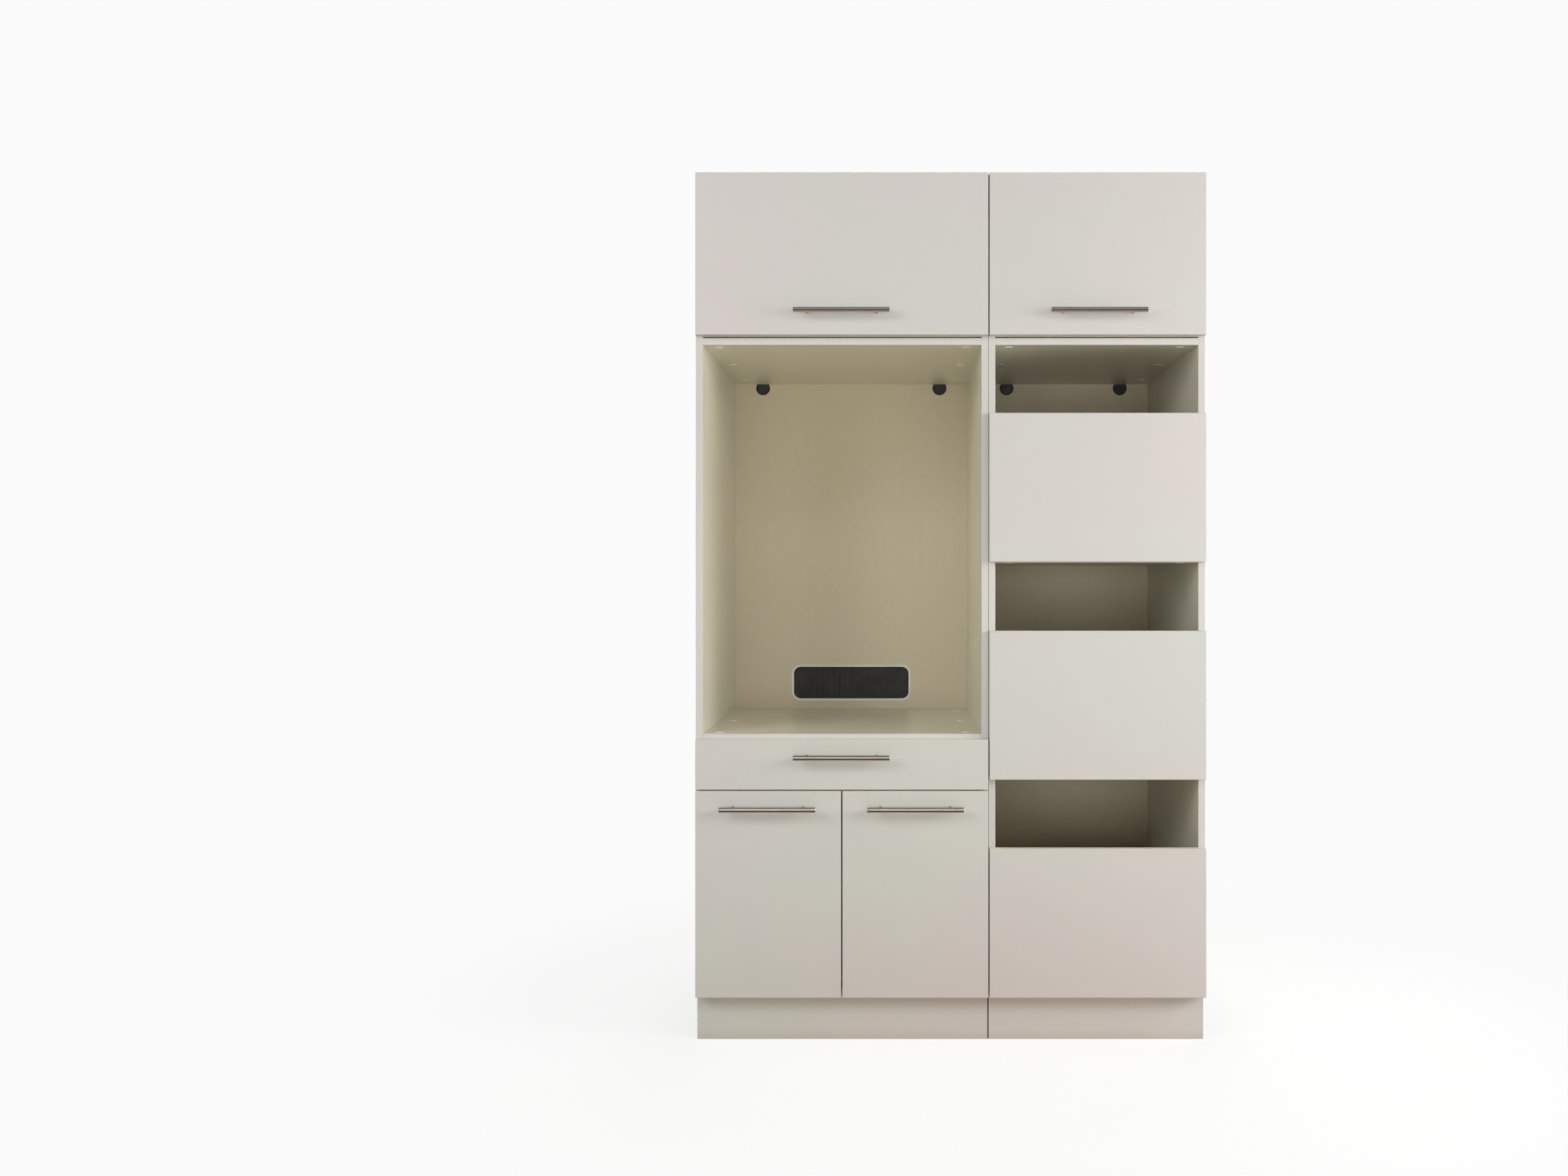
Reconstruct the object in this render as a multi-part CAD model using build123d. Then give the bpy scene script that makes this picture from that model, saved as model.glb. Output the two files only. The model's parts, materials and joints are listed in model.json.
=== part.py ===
from build123d import *
import os
from math import acos, asin, cos, hypot, sin

os.makedirs("parts", exist_ok=True)

# Two laundry towers side by side, each with an upper unit. Millimetres, +Z up.
# The fronts face -Y and the origin is on the floor, at the centre of the whole outline.

# Boards
board = 16.0                 # melamine-faced board of the cases
front_thick = 18.0           # doors, flaps and drawer fronts
back_thick = 8.0             # back panels
box_board = 12.0             # drawer and tray sides
box_floor_thick = 5.0        # thin floors of the drawer and the trays
edge_round = 1.0             # rounded edge band of the fronts
case_edge_round = 1.0        # rounded edge band of the case boards' front edges

# Towers
niche_width = 675.0
column_width = 500.0
upper_height = 375.0
column_head = 21.0           # above the last pull-out's bay, up to the top of the tall side panels
base_clear = 104.0           # floor to the underside of the cases
inner_depth = 610.0          # case front plane to the back panel
side_past_back = 12.0        # side panels run on behind the back panel
front_standoff = 0.5         # gap left by the buffers between fronts and cases
front_gap = 3.0              # between two neighbouring fronts
top_board_drop = 3.0         # top boards lie this far below the side panels' ends

# Fronts
door_height = 474.0
drawer_front_height = 115.0
floor_board_show = 11.5      # niche floor seen above the drawer front
pullout_pitch = 500.0
pullout_opening = 158.5      # left open above each pull-out's front
pullout_count = 3

# Fits
slip = 0.2                   # panels in grooves, cams in pockets
running = 0.1                # pins in their eyes
air = 0.3                    # between parts that pass each other
overrun = 2.0                # how far every cutting solid runs past the cut

# Bar handles
handle_length = 220.0
handle_bar_radius = 6.0
handle_reach = 32.0          # front face to the outer side of the bar
handle_post_radius = 4.5
handle_post_spacing = 160.0
handle_end_chamfer = 0.6
handle_from_top = 39.0       # on doors and the drawer
handle_from_bottom = 52.0    # on flaps
handle_screw_radius = 2.0
handle_screw_bite = 10.0     # screw length inside the post
handle_head_radius = 4.5
handle_head_height = 2.5

# Back panel, grooves and passages
groove_depth = 6.0
hose_passage_width = 320.0
hose_passage_height = 90.0
hose_passage_lift = 25.0     # above the niche floor
hose_passage_corner = 20.0
vent_radius = 19.3
vent_from_wall = 77.0        # hole centre to the inner face of the side panel
vent_below_ceiling = 11.0
vent_cap_flange = 4.0
vent_cap_thick = 2.0

# Cross rail and adjustable shelf of the cupboard
rail_depth = 60.0
shelf_rear_clear = 20.0      # shelf to the back panel
shelf_side_clear = 1.0
shelf_setback = 30.0
shelf_rise = 220.0           # base board to the shelf's underside
pin_radius = 2.5
pin_in_panel = 9.0
pin_show = 8.0
pin_setback = 60.0
pin_collar_radius = 4.5
pin_row_pitch = 32.0
pin_row_count = 3

# Cam connectors: housing in the board's face, bolt through its end, cap over the housing
cam_radius = 7.5
cam_depth = 12.5
cam_from_end = 34.0
cam_bolt_radius = 3.5
cam_bolt_in_panel = 11.0
cam_cap_radius = 9.0
cam_cap_thick = 1.0
cam_cap_round = 0.6
cam_front_inset = 35.0       # case front plane to the first row
cam_rear_inset = 80.0        # last row to the back panel

# Plinth, clips and levelling feet
plinth_thick = 16.0
plinth_setback = 32.0        # from the front faces
plinth_top_gap = 2.0
foot_inset = 62.0            # from the tower's side
foot_rear_inset = 70.0
foot_pad_radius = 30.0
foot_pad_thick = 10.0
foot_pad_chamfer = 2.0
foot_stem_radius = 12.0
foot_stem_gap = 12.0         # stem's top end to the case
foot_tube_radius = 17.0
foot_tube_length = 58.0
foot_flange_radius = 32.0
foot_flange_thick = 5.0
clip_ring_wall = 3.0
clip_ring_height = 16.0
clip_ring_low = 46.0
clip_plate_width = 42.0
clip_plate_height = 30.0
clip_plate_thick = 3.0
clip_arm_width = 12.0
foot_behind_plinth = 36.0    # plinth's rear face to the axis of the front feet

# Joining bolts between the towers and stacking pins under the upper units
join_bolt_radius = 2.5
join_head_radius = 6.0
join_head_thick = 1.5
join_above_base = 196.0      # lower bolts, above the underside of the cases
join_above_seam = 175.0      # upper bolts, above the tall side panels
join_front_inset = 45.0
join_rear_inset = 50.0       # from the back panel
stack_pin_radius = 4.0
stack_pin_half = 14.0
stack_pin_front_inset = 90.0
stack_pin_rear_inset = 70.0  # from the back panel

# Wall brackets inside the upper units
bracket_leg = 40.0
bracket_thick = 3.0
bracket_width = 30.0
bracket_hole_radius = 3.25
bracket_hole_drop = 24.0     # hole centre below the top board's underside
bracket_from_wall = 120.0

# Concealed hinges, in their own plan: across from the door's outer edge, in from its front face
cup_radius = 17.5
cup_edge = 5.0               # door edge to the cup's rim
cup_depth = 12.3
cup_wall = 1.0
cup_flange_height = 52.0
cup_flange_width = 15.0
cup_flange_thick = 1.0
hinge_inset = 80.0           # door end to the hinge's middle
arm_length = 76.0            # case front plane to the arm's rear end
arm_width = 15.0
arm_height = 9.0
arm_wall = 1.5
arm_lift = 2.3               # side panel to the arm, filled by the plate
arm_open_start = 3.5         # case front plane to the arm's closed part
plate_length = 34.0
plate_height = 40.0
plate_start = 36.0
plate_thick = 2.0
cheek_gap = 10.0             # clear width between the arm's two cheeks
cheek_radius = 3.2
link_pin_in = 10.5           # door front face to the link's pin
link_pin_across = 20.0       # door edge to the link's pin
link_length = 16.0
link_thick = 3.0
link_width = 9.0
link_pin_radius = 1.2

# Flap hinges use the same cup and arm
flap_hinge_from_wall = 110.0
flap_arm_tip_in = 7.5        # inner face of the flap to the arm's tip
flap_arm_tip_down = 20.0     # flap's top edge to the arm's tip

# Gas stays
stay_swing_radius = 160.0    # hinge line to both of the stay's pins
stay_flap_pin_in = 14.0      # flap's inner face to the pin
stay_rear_pin_drop = 26.5    # flap's top edge to the rear pin
stay_from_wall = 16.0        # side panel to the stay's axis
stay_tube_radius = 9.0
stay_tube_bore = 7.0
stay_rod_radius = 4.0
stay_piston_length = 10.0
stay_rod_show = 41.0         # rod seen between tube and front eye when closed
stay_blind = 14.0            # rear pin to the inner end of the rod when closed
stay_bore_start = 12.0       # rear pin to the bottom of the tube's bore
stay_gland_length = 8.0
stay_eye_radius = 7.0
stay_eye_width = 8.0
stay_pin_radius = 3.0
stay_plate_thick = 2.0
stay_plate_size = 36.0
stay_ear_radius = 9.0
stay_ear_gap = 0.5

# Roller runners, in section: across from the side panel, up from the box's lower edge
runner_room = 12.5           # side panel to the box
runner_height = 28.0
runner_sheet = 1.2
runner_flange = 9.0
runner_rear_clear = 57.0     # rail's rear end to the back panel
runner_setback = 3.0
slide_shelf_height = 14.5
slide_flange_start = 3.0
front_roller_radius = 5.6
front_roller_height = 8.4
rear_roller_radius = 12.4
roller_start = 2.2
roller_width = 6.6
roller_from_end = 16.0
roller_axle_radius = 2.0

# Drawer and trays
box_rear_clear = 59.5        # box's rear to the back panel
box_rise = 19.5              # drawer front's lower edge to the box
drawer_box_height = 76.0
tray_rise = 30.0             # pull-out front's lower edge to the tray
tray_height = 180.0
box_floor_rise = 10.0
box_groove = 6.0

# Levels and planes that follow from the sizes
reveal = front_gap / 2
reveal_to_case = board - reveal
case_depth = inner_depth + back_thick + side_past_back
overall_width = niche_width + column_width
face_y = handle_reach - (handle_reach + front_thick + front_standoff + case_depth) / 2
inside_y = face_y + front_thick
case_y = inside_y + front_standoff
rear_y = case_y + case_depth
back_y = case_y + inner_depth
left_x = -overall_width / 2
seam_x = left_x + niche_width
right_x = seam_x + column_width
pullout_front_height = pullout_pitch - pullout_opening
tall_top = base_clear + pullout_pitch * pullout_count + column_head
total_height = tall_top + upper_height
top_board_top = tall_top - top_board_drop
ceiling = top_board_top - board
door_bottom = base_clear + reveal
door_top = door_bottom + door_height
drawer_bottom_edge = door_top + front_gap
drawer_top_edge = drawer_bottom_edge + drawer_front_height
niche_floor = drawer_top_edge + floor_board_show
flap_bottom = tall_top + reveal
flap_top = total_height - reveal
case_spans = {
    "niche": (left_x, seam_x),
    "column": (seam_x, right_x),
}
inner_spans = {
    "niche": (left_x + board, seam_x - board),
    "column": (seam_x + board, right_x - board),
}
handle_bar_y = face_y - handle_reach + handle_bar_radius
first_cam_row = case_y + cam_front_inset
last_cam_row = back_y - cam_rear_inset
cam_rows = (first_cam_row, (first_cam_row + last_cam_row) / 2, last_cam_row)

pieces = {}
CORNER = (Align.MIN, Align.MIN, Align.MIN)
LONG = (Align.CENTER, Align.CENTER, Align.MIN)


def slab(x_span, y_span, z_span):
    """A plain board between three pairs of planes."""
    size = [high - low for low, high in (x_span, y_span, z_span)]
    return Pos(x_span[0], y_span[0], z_span[0]) * Box(*size, align=CORNER)


def span(start, length):
    return start, start + length


def around(middle, width):
    return middle - width / 2, middle + width / 2


def disc(radius, axis, at, reach):
    """A round bar along X, Y or Z. reach is its low and high end, at holds the other two places."""
    turn = {"x": Rot(0, 90, 0), "y": Rot(-90, 0, 0), "z": Rot(0, 0, 0)}[axis]
    low, high = reach
    places = list(at)
    places.insert("xyz".index(axis), low)
    return Pos(*places) * turn * Cylinder(radius, high - low, align=LONG)


def add(name, *solids):
    """Keep solids under a node's name, each as a piece of its own."""
    pieces.setdefault(name, []).extend(solids)


def cut(name, *tools, place=0):
    """Cut tools out of one solid kept under a name: the first, unless place says which."""
    pieces[name][place] = pieces[name][place] - list(tools)


def soften_front(solid):
    """Round the edges of a case board that face forward."""
    front_edges = solid.faces().sort_by(Axis.Y)[0].edges()
    return fillet(front_edges, case_edge_round)


def front_panel(x_span, z_span):
    """A door, flap or drawer front, with its edge band rounded all round."""
    panel = slab(x_span, (face_y, inside_y), z_span)
    return fillet(panel.edges(), edge_round)


# Cases

def cam_joint(board_at, sides_at, inner_span, z_span, face, rows):
    """Cams at both ends of a board. face is +1 for cams let into its top, -1 into its underside.

    A board or side is given as its node's name and its place among that node's solids.
    """
    surface = z_span[1] if face > 0 else z_span[0]
    bolt_z = (z_span[0] + z_span[1]) / 2
    pocket_tools = []
    for end, inward, (side_name, side_place) in zip(inner_span, (1, -1), sides_at):
        cam_x = end + inward * cam_from_end
        side_tools = []
        for row in rows:
            pocket_reach = sorted((surface + face * overrun, surface - face * (cam_depth + slip)))
            pocket_tools.append(disc(cam_radius + slip, "z", (cam_x, row), pocket_reach))
            deep_end = end - inward * cam_bolt_in_panel
            bore_reach = sorted((deep_end - inward * slip, cam_x))
            bore = disc(cam_bolt_radius + running, "x", (row, bolt_z), bore_reach)
            pocket_tools.append(bore)
            side_tools.append(bore)
            housing = disc(cam_radius, "z", (cam_x, row), sorted((surface, surface - face * cam_depth)))
            bolt = disc(cam_bolt_radius, "x", (row, bolt_z), sorted((deep_end, cam_x)))
            add("cam_connectors", housing + bolt)
            cap = disc(cam_cap_radius, "z", (cam_x, row), sorted((surface, surface + face * cam_cap_thick)))
            rim = cap.faces().sort_by(Axis.Z)[-1 if face > 0 else 0].edges()
            add("cam_caps", fillet(rim, cam_cap_round))
        cut(side_name, *side_tools, place=side_place)
    cut(board_at[0], *pocket_tools, place=board_at[1])


def case_side(x_start, z_span):
    """A side panel with the groove that takes the back panel."""
    panel = slab(span(x_start, board), (case_y, rear_y), z_span)
    return soften_front(panel)


def back_groove(x_inner, inward, z_span):
    groove_x = sorted((x_inner + inward * overrun, x_inner - inward * groove_depth))
    groove_y = (back_y, back_y + back_thick + slip)
    return slab(groove_x, groove_y, (z_span[0] - overrun, z_span[1] + overrun))


def back_panel(inner_span, z_span):
    grip = groove_depth - slip
    return slab((inner_span[0] - grip, inner_span[1] + grip), span(back_y, back_thick), z_span)


def case_board(inner_span, z_low):
    solid = slab(inner_span, (case_y, back_y), span(z_low, board))
    return soften_front(solid)


def tall_sides(tower, left_name, right_name):
    z_span = (base_clear, tall_top)
    outer = case_spans[tower]
    inner = inner_spans[tower]
    add(left_name, case_side(outer[0], z_span) - back_groove(inner[0], 1, z_span))
    add(right_name, case_side(inner[1], z_span) - back_groove(inner[1], -1, z_span))


def vent(tower, panel_name):
    """Two round holes near the ceiling, each closed from the rear by a black cap."""
    inner = inner_spans[tower]
    z = ceiling - vent_below_ceiling
    for x in (inner[0] + vent_from_wall, inner[1] - vent_from_wall):
        hole = disc(vent_radius, "y", (x, z), (back_y - overrun, back_y + back_thick + overrun))
        cut(panel_name, hole)
        plug = disc(vent_radius - running, "y", (x, z), span(back_y, back_thick))
        flange = disc(vent_radius + vent_cap_flange, "y", (x, z), span(back_y + back_thick, vent_cap_thick))
        add("vent_caps", plug + flange)


def niche_tower():
    tall_sides("niche", "niche_side_left", "niche_side_right")
    inner = inner_spans["niche"]
    sides = (("niche_side_left", 0), ("niche_side_right", 0))
    levels = {
        "niche_base_board": (base_clear, 1),
        "niche_floor_board": (niche_floor - board, 1),
        "niche_top_board": (ceiling, -1),
    }
    for name, (z_low, face) in levels.items():
        add(name, case_board(inner, z_low))
        cam_joint((name, 0), sides, inner, span(z_low, board), face, cam_rows)
    rail_middle = door_top + front_gap / 2
    rail_z = around(rail_middle, board)
    add("front_cross_rail", soften_front(slab(inner, span(case_y, rail_depth), rail_z)))
    cam_joint(("front_cross_rail", 0), sides, inner, rail_z, -1, cam_rows[:1])
    add("niche_back_panel", back_panel(inner, (base_clear, top_board_top)))
    passage_z = span(niche_floor + hose_passage_lift, hose_passage_height)
    passage_x = around((inner[0] + inner[1]) / 2, hose_passage_width)
    passage = slab(passage_x, (back_y - overrun, back_y + back_thick + overrun), passage_z)
    passage = fillet(passage.edges().filter_by(Axis.Y), hose_passage_corner)
    cut("niche_back_panel", passage)
    vent("niche", "niche_back_panel")


def cupboard_shelf():
    """A loose shelf on four pins, in rows of spare pin holes."""
    inner = inner_spans["niche"]
    underside = base_clear + board + shelf_rise
    y_span = (case_y + shelf_setback, back_y - shelf_rear_clear)
    x_span = (inner[0] + shelf_side_clear, inner[1] - shelf_side_clear)
    add("adjustable_shelf", soften_front(slab(x_span, y_span, span(underside, board))))
    pin_z = underside - pin_radius
    walls = ((inner[0], 1, "niche_side_left"), (inner[1], -1, "niche_side_right"))
    for wall, inward, side in walls:
        for y in (y_span[0] + pin_setback, y_span[1] - pin_setback):
            for step in range(pin_row_count):
                z = pin_z + (step - pin_row_count // 2) * pin_row_pitch
                hole_x = sorted((wall + inward * overrun, wall - inward * (pin_in_panel + slip)))
                cut(side, disc(pin_radius + running, "x", (y, z), hole_x))
            pin_x = sorted((wall - inward * pin_in_panel, wall + inward * pin_show))
            collar_x = sorted((wall, wall + inward * (shelf_side_clear - running)))
            pin = disc(pin_radius, "x", (y, pin_z), pin_x)
            collar = disc(pin_collar_radius, "x", (y, pin_z), collar_x)
            add("shelf_pins", pin + collar)


def column_tower():
    tall_sides("column", "column_side_left", "column_side_right")
    inner = inner_spans["column"]
    sides = (("column_side_left", 0), ("column_side_right", 0))
    levels = (
        ("column_base_board", 0, base_clear, 1),
        ("column_shelves", 0, base_clear + pullout_pitch, -1),
        ("column_shelves", 1, base_clear + pullout_pitch * 2, -1),
        ("column_top_board", 0, ceiling, -1),
    )
    for name, place, z_low, face in levels:
        add(name, case_board(inner, z_low))
        cam_joint((name, place), sides, inner, span(z_low, board), face, cam_rows)
    add("column_back_panel", back_panel(inner, (base_clear, top_board_top)))
    vent("column", "column_back_panel")


def upper_unit(tower, name):
    """Case boards of an upper unit: two sides, bottom and top. The back panel is its own node."""
    outer = case_spans[tower]
    inner = inner_spans[tower]
    z_span = (tall_top, total_height)
    add(name, case_side(outer[0], z_span) - back_groove(inner[0], 1, z_span))
    add(name, case_side(inner[1], z_span) - back_groove(inner[1], -1, z_span))
    sides = ((name, 0), (name, 1))
    end_rows = (cam_rows[0], cam_rows[-1])
    for place, z_low, face in ((2, tall_top, 1), (3, total_height - board, -1)):
        add(name, case_board(inner, z_low))
        cam_joint((name, place), sides, inner, span(z_low, board), face, end_rows)
    panel = back_panel(inner, z_span)
    hole_z = total_height - board - bracket_hole_drop
    for x in (inner[0] + bracket_from_wall, inner[1] - bracket_from_wall):
        panel = panel - disc(bracket_hole_radius, "y", (x, hole_z), (back_y - overrun, rear_y))
        add("wall_brackets", wall_bracket(x, hole_z))
    add("upper_back_panels", panel)


def wall_bracket(x, hole_z):
    """Steel angle under the top board, with a hole that lines up with the back panel's."""
    ceiling_z = total_height - board
    x_span = around(x, bracket_width)
    flat = slab(x_span, (back_y - bracket_leg, back_y), (ceiling_z - bracket_thick, ceiling_z))
    upright = slab(x_span, (back_y - bracket_thick, back_y), (ceiling_z - bracket_leg, ceiling_z))
    hole = disc(bracket_hole_radius, "y", (x, hole_z), (back_y - bracket_thick - overrun, back_y + overrun))
    return flat + upright - hole


# Plinth, feet and joining fittings

def foot(x, y):
    """Socket under the case, threaded pad below it."""
    flange = disc(foot_flange_radius, "z", (x, y), (base_clear - foot_flange_thick, base_clear))
    tube = disc(foot_tube_radius, "z", (x, y), (base_clear - foot_tube_length, base_clear))
    stem_top = base_clear - foot_stem_gap
    bore = disc(foot_stem_radius + slip, "z", (x, y), (-overrun, stem_top + slip))
    pad = disc(foot_pad_radius, "z", (x, y), (0, foot_pad_thick))
    pad = chamfer(pad.faces().sort_by(Axis.Z)[-1].edges(), foot_pad_chamfer)
    stem = disc(foot_stem_radius, "z", (x, y), (0, stem_top))
    add("levelling_feet", flange + tube - bore, pad + stem)


def plinth_clip(x, y, plinth_rear):
    """Ring that snaps round a front foot, with an arm and plate screwed to the plinth."""
    ring_inner = foot_tube_radius + slip
    ring_z = span(clip_ring_low, clip_ring_height)
    ring = disc(ring_inner + clip_ring_wall, "z", (x, y), ring_z)
    arm = slab(around(x, clip_arm_width), (plinth_rear, y), ring_z)
    plate_z = around((ring_z[0] + ring_z[1]) / 2, clip_plate_height)
    plate = slab(around(x, clip_plate_width), span(plinth_rear, clip_plate_thick), plate_z)
    bore = disc(ring_inner, "z", (x, y), (ring_z[0] - overrun, ring_z[1] + overrun))
    add("plinth_clips", ring + arm + plate - bore)


def stand():
    plinth_y = span(face_y + plinth_setback, plinth_thick)
    for tower, outer in case_spans.items():
        x_span = (outer[0] + reveal, outer[1] - reveal)
        add("plinth_boards", slab(x_span, plinth_y, (0, base_clear - plinth_top_gap)))
        for x in (outer[0] + foot_inset, outer[1] - foot_inset):
            front_foot_y = plinth_y[1] + foot_behind_plinth
            foot(x, front_foot_y)
            foot(x, rear_y - foot_rear_inset)
            plinth_clip(x, front_foot_y, plinth_y[1])


def joining_fittings():
    """Bolts through the two neighbouring side panels, and pins that locate the upper units."""
    panels_x = (seam_x - board, seam_x + board)
    for z in (base_clear + join_above_base, tall_top + join_above_seam):
        for y in (case_y + join_front_inset, back_y - join_rear_inset):
            at = (y, z)
            shank = disc(join_bolt_radius, "x", at, panels_x)
            left_head = disc(join_head_radius, "x", at, (panels_x[0] - join_head_thick, panels_x[0]))
            right_head = disc(join_head_radius, "x", at, span(panels_x[1], join_head_thick))
            add("joining_fittings", shank + left_head + right_head)
            bore = disc(join_bolt_radius + running, "x", at, (panels_x[0] - overrun, panels_x[1] + overrun))
            if z < tall_top:
                cut("niche_side_right", bore)
                cut("column_side_left", bore)
            else:
                cut("upper_left_case", bore, place=1)
                cut("upper_right_case", bore)
    lower_sides = {
        "niche": ("niche_side_left", "niche_side_right", "upper_left_case"),
        "column": ("column_side_left", "column_side_right", "upper_right_case"),
    }
    pin_z = (tall_top - stack_pin_half, tall_top + stack_pin_half)
    for tower, (left_name, right_name, upper_name) in lower_sides.items():
        outer = case_spans[tower]
        pin_rows = ((outer[0] + board / 2, left_name, 0), (outer[1] - board / 2, right_name, 1))
        for x, lower_name, place in pin_rows:
            for y in (case_y + stack_pin_front_inset, back_y - stack_pin_rear_inset):
                at = (x, y)
                add("joining_fittings", disc(stack_pin_radius, "z", at, pin_z))
                bore = disc(stack_pin_radius + running, "z", at, (pin_z[0] - slip, pin_z[1] + slip))
                cut(lower_name, bore)
                cut(upper_name, bore, place=place)


# Handles

def bar_handle(name, panel_name, x, z):
    """Round bar on two posts, with a screw through the front into each post."""
    half = handle_length / 2
    at = (handle_bar_y, z)
    bar = disc(handle_bar_radius, "x", at, (x - half, x + half))
    bar = chamfer(bar.edges().filter_by(GeomType.CIRCLE), handle_end_chamfer)
    add(name, bar)
    for post_x in around(x, handle_post_spacing):
        post = disc(handle_post_radius, "y", (post_x, z), (handle_bar_y, face_y))
        screw_start = face_y - handle_screw_bite
        screw_bore = disc(handle_screw_radius, "y", (post_x, z), (screw_start, face_y + overrun))
        add(name, post - bar - screw_bore)
        shank = disc(handle_screw_radius, "y", (post_x, z), (screw_start, inside_y))
        head = disc(handle_head_radius, "y", (post_x, z), span(inside_y, handle_head_height))
        add(name, shank + head)
        hole_y = (face_y - overrun, inside_y + overrun)
        cut(panel_name, disc(handle_screw_radius + slip, "y", (post_x, z), hole_y))


# Concealed hinges

def hinge_cup(x, z):
    """A cup's shell, its hollow, and the bore that takes it in the front's inner face."""
    shell = disc(cup_radius - running, "y", (x, z), (inside_y - cup_depth, inside_y))
    hollow_y = (inside_y - cup_depth + cup_wall, inside_y + overrun)
    hollow = disc(cup_radius - cup_wall, "y", (x, z), hollow_y)
    bore = disc(cup_radius, "y", (x, z), (inside_y - cup_depth - running, inside_y + overrun))
    return shell, hollow, bore


def door_hinge(edge_x, inward, z):
    """One hinge of a side-hung door: cup and flange, link, arm with its plate."""
    shell, hollow, bore = hinge_cup(edge_x + inward * (cup_edge + cup_radius), z)
    flange_start = reveal_to_case + air
    flange_x = sorted((edge_x + inward * flange_start, edge_x + inward * (flange_start + cup_flange_width)))
    flange = slab(flange_x, span(inside_y, cup_flange_thick), around(z, cup_flange_height))
    cup = shell + flange - hollow

    pin_x = edge_x + inward * link_pin_across
    pin_y = face_y + link_pin_in
    link_x = sorted((pin_x, pin_x + inward * link_length))
    link = slab(link_x, around(pin_y, link_thick), around(z, link_width))
    link_ends = (pin_x, pin_x + inward * link_length)
    for end_x in link_ends:
        link = link + disc(link_thick / 2, "z", (end_x, pin_y), around(z, link_width))
    link = link - disc(link_pin_radius + running, "z", (pin_x, pin_y), around(z, link_width + overrun))

    wall_x = edge_x + inward * reveal_to_case
    low_x = wall_x + inward * arm_lift
    high_x = low_x + inward * arm_height
    arm_y = (case_y + arm_open_start, case_y + arm_length)
    arm = slab(sorted((low_x, high_x)), arm_y, around(z, arm_width))
    hollow_x = sorted((low_x - inward * overrun, high_x - inward * arm_wall))
    hollow_y = (case_y - overrun, case_y + arm_length - arm_wall)
    arm = arm - slab(hollow_x, hollow_y, around(z, arm_width - 2 * arm_wall))
    cheek_x = around(pin_x, 2 * cheek_radius)
    for side in (-1, 1):
        low = z + side * cheek_gap / 2
        high = z + side * arm_width / 2
        cheek_z = sorted((low, high))
        cheek = slab(cheek_x, (pin_y, case_y + plate_start), cheek_z)
        arm = arm + cheek + disc(cheek_radius, "z", (pin_x, pin_y), cheek_z)
    arm = arm + disc(link_pin_radius, "z", (pin_x, pin_y), around(z, arm_width))
    plate_x = sorted((wall_x, wall_x + inward * plate_thick))
    plate_y = span(case_y + plate_start, plate_length)
    plate = slab(plate_x, plate_y, around(z, plate_height))
    pedestal_x = sorted((wall_x + inward * plate_thick, high_x - inward * arm_wall))
    pedestal = slab(pedestal_x, plate_y, around(z, arm_width - 2 * arm_wall - 2 * slip))
    return cup, bore, link, [arm, plate + pedestal]


def flap_hinge(x):
    """One hinge of a flap: cup in the flap's top, arm and plate under the top board."""
    shell, hollow, bore = hinge_cup(x, flap_top - cup_edge - cup_radius)
    cup = shell - hollow
    wall_z = total_height - board
    high_z = wall_z - arm_lift
    low_z = high_z - arm_height
    arm = slab(around(x, arm_width), (case_y + arm_open_start, case_y + arm_length), (low_z, high_z))
    hollow_y = (case_y - overrun, case_y + arm_length - arm_wall)
    arm = arm - slab(around(x, arm_width - 2 * arm_wall), hollow_y, (low_z + arm_wall, high_z + overrun))
    tip_y = inside_y - flap_arm_tip_in
    tip_z = flap_top - flap_arm_tip_down
    for side in (-1, 1):
        cheek_x = sorted((x + side * cheek_gap / 2, x + side * arm_width / 2))
        cheek = slab(cheek_x, (tip_y, case_y + plate_start), around(tip_z, 2 * cheek_radius))
        arm = arm + cheek + disc(cheek_radius, "x", (tip_y, tip_z), cheek_x)
    arm = arm + disc(link_pin_radius, "x", (tip_y, tip_z), around(x, arm_width))
    plate_y = span(case_y + plate_start, plate_length)
    plate = slab(around(x, plate_height), plate_y, (wall_z - plate_thick, wall_z))
    pedestal_z = (low_z + arm_wall, wall_z - plate_thick)
    pedestal = slab(around(x, arm_width - 2 * arm_wall - 2 * slip), plate_y, pedestal_z)
    return cup, bore, [arm, plate + pedestal]


# Gas stays

def stay_geometry():
    """Both pins lie on one circle about the flap's hinge line, so the stay turns half as fast."""
    flap_pin_angle = asin(stay_flap_pin_in / stay_swing_radius)
    rear_pin_angle = acos(stay_rear_pin_drop / stay_swing_radius)
    flap_pin = (inside_y + stay_flap_pin_in, flap_top - stay_swing_radius * cos(flap_pin_angle))
    rear_pin = (inside_y + stay_swing_radius * sin(rear_pin_angle), flap_top - stay_rear_pin_drop)
    closed_length = hypot(rear_pin[0] - flap_pin[0], rear_pin[1] - flap_pin[1])
    return flap_pin, rear_pin, closed_length


def along_stay(solid, x, rear_pin, flap_pin):
    """Lay a solid that was built along +Z from the rear pin onto the line to the flap's pin."""
    line = Vector(0, flap_pin[0] - rear_pin[0], flap_pin[1] - rear_pin[1])
    lie = Plane(origin=(x, rear_pin[0], rear_pin[1]), x_dir=(1, 0, 0), z_dir=line)
    return lie.location * solid


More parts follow.
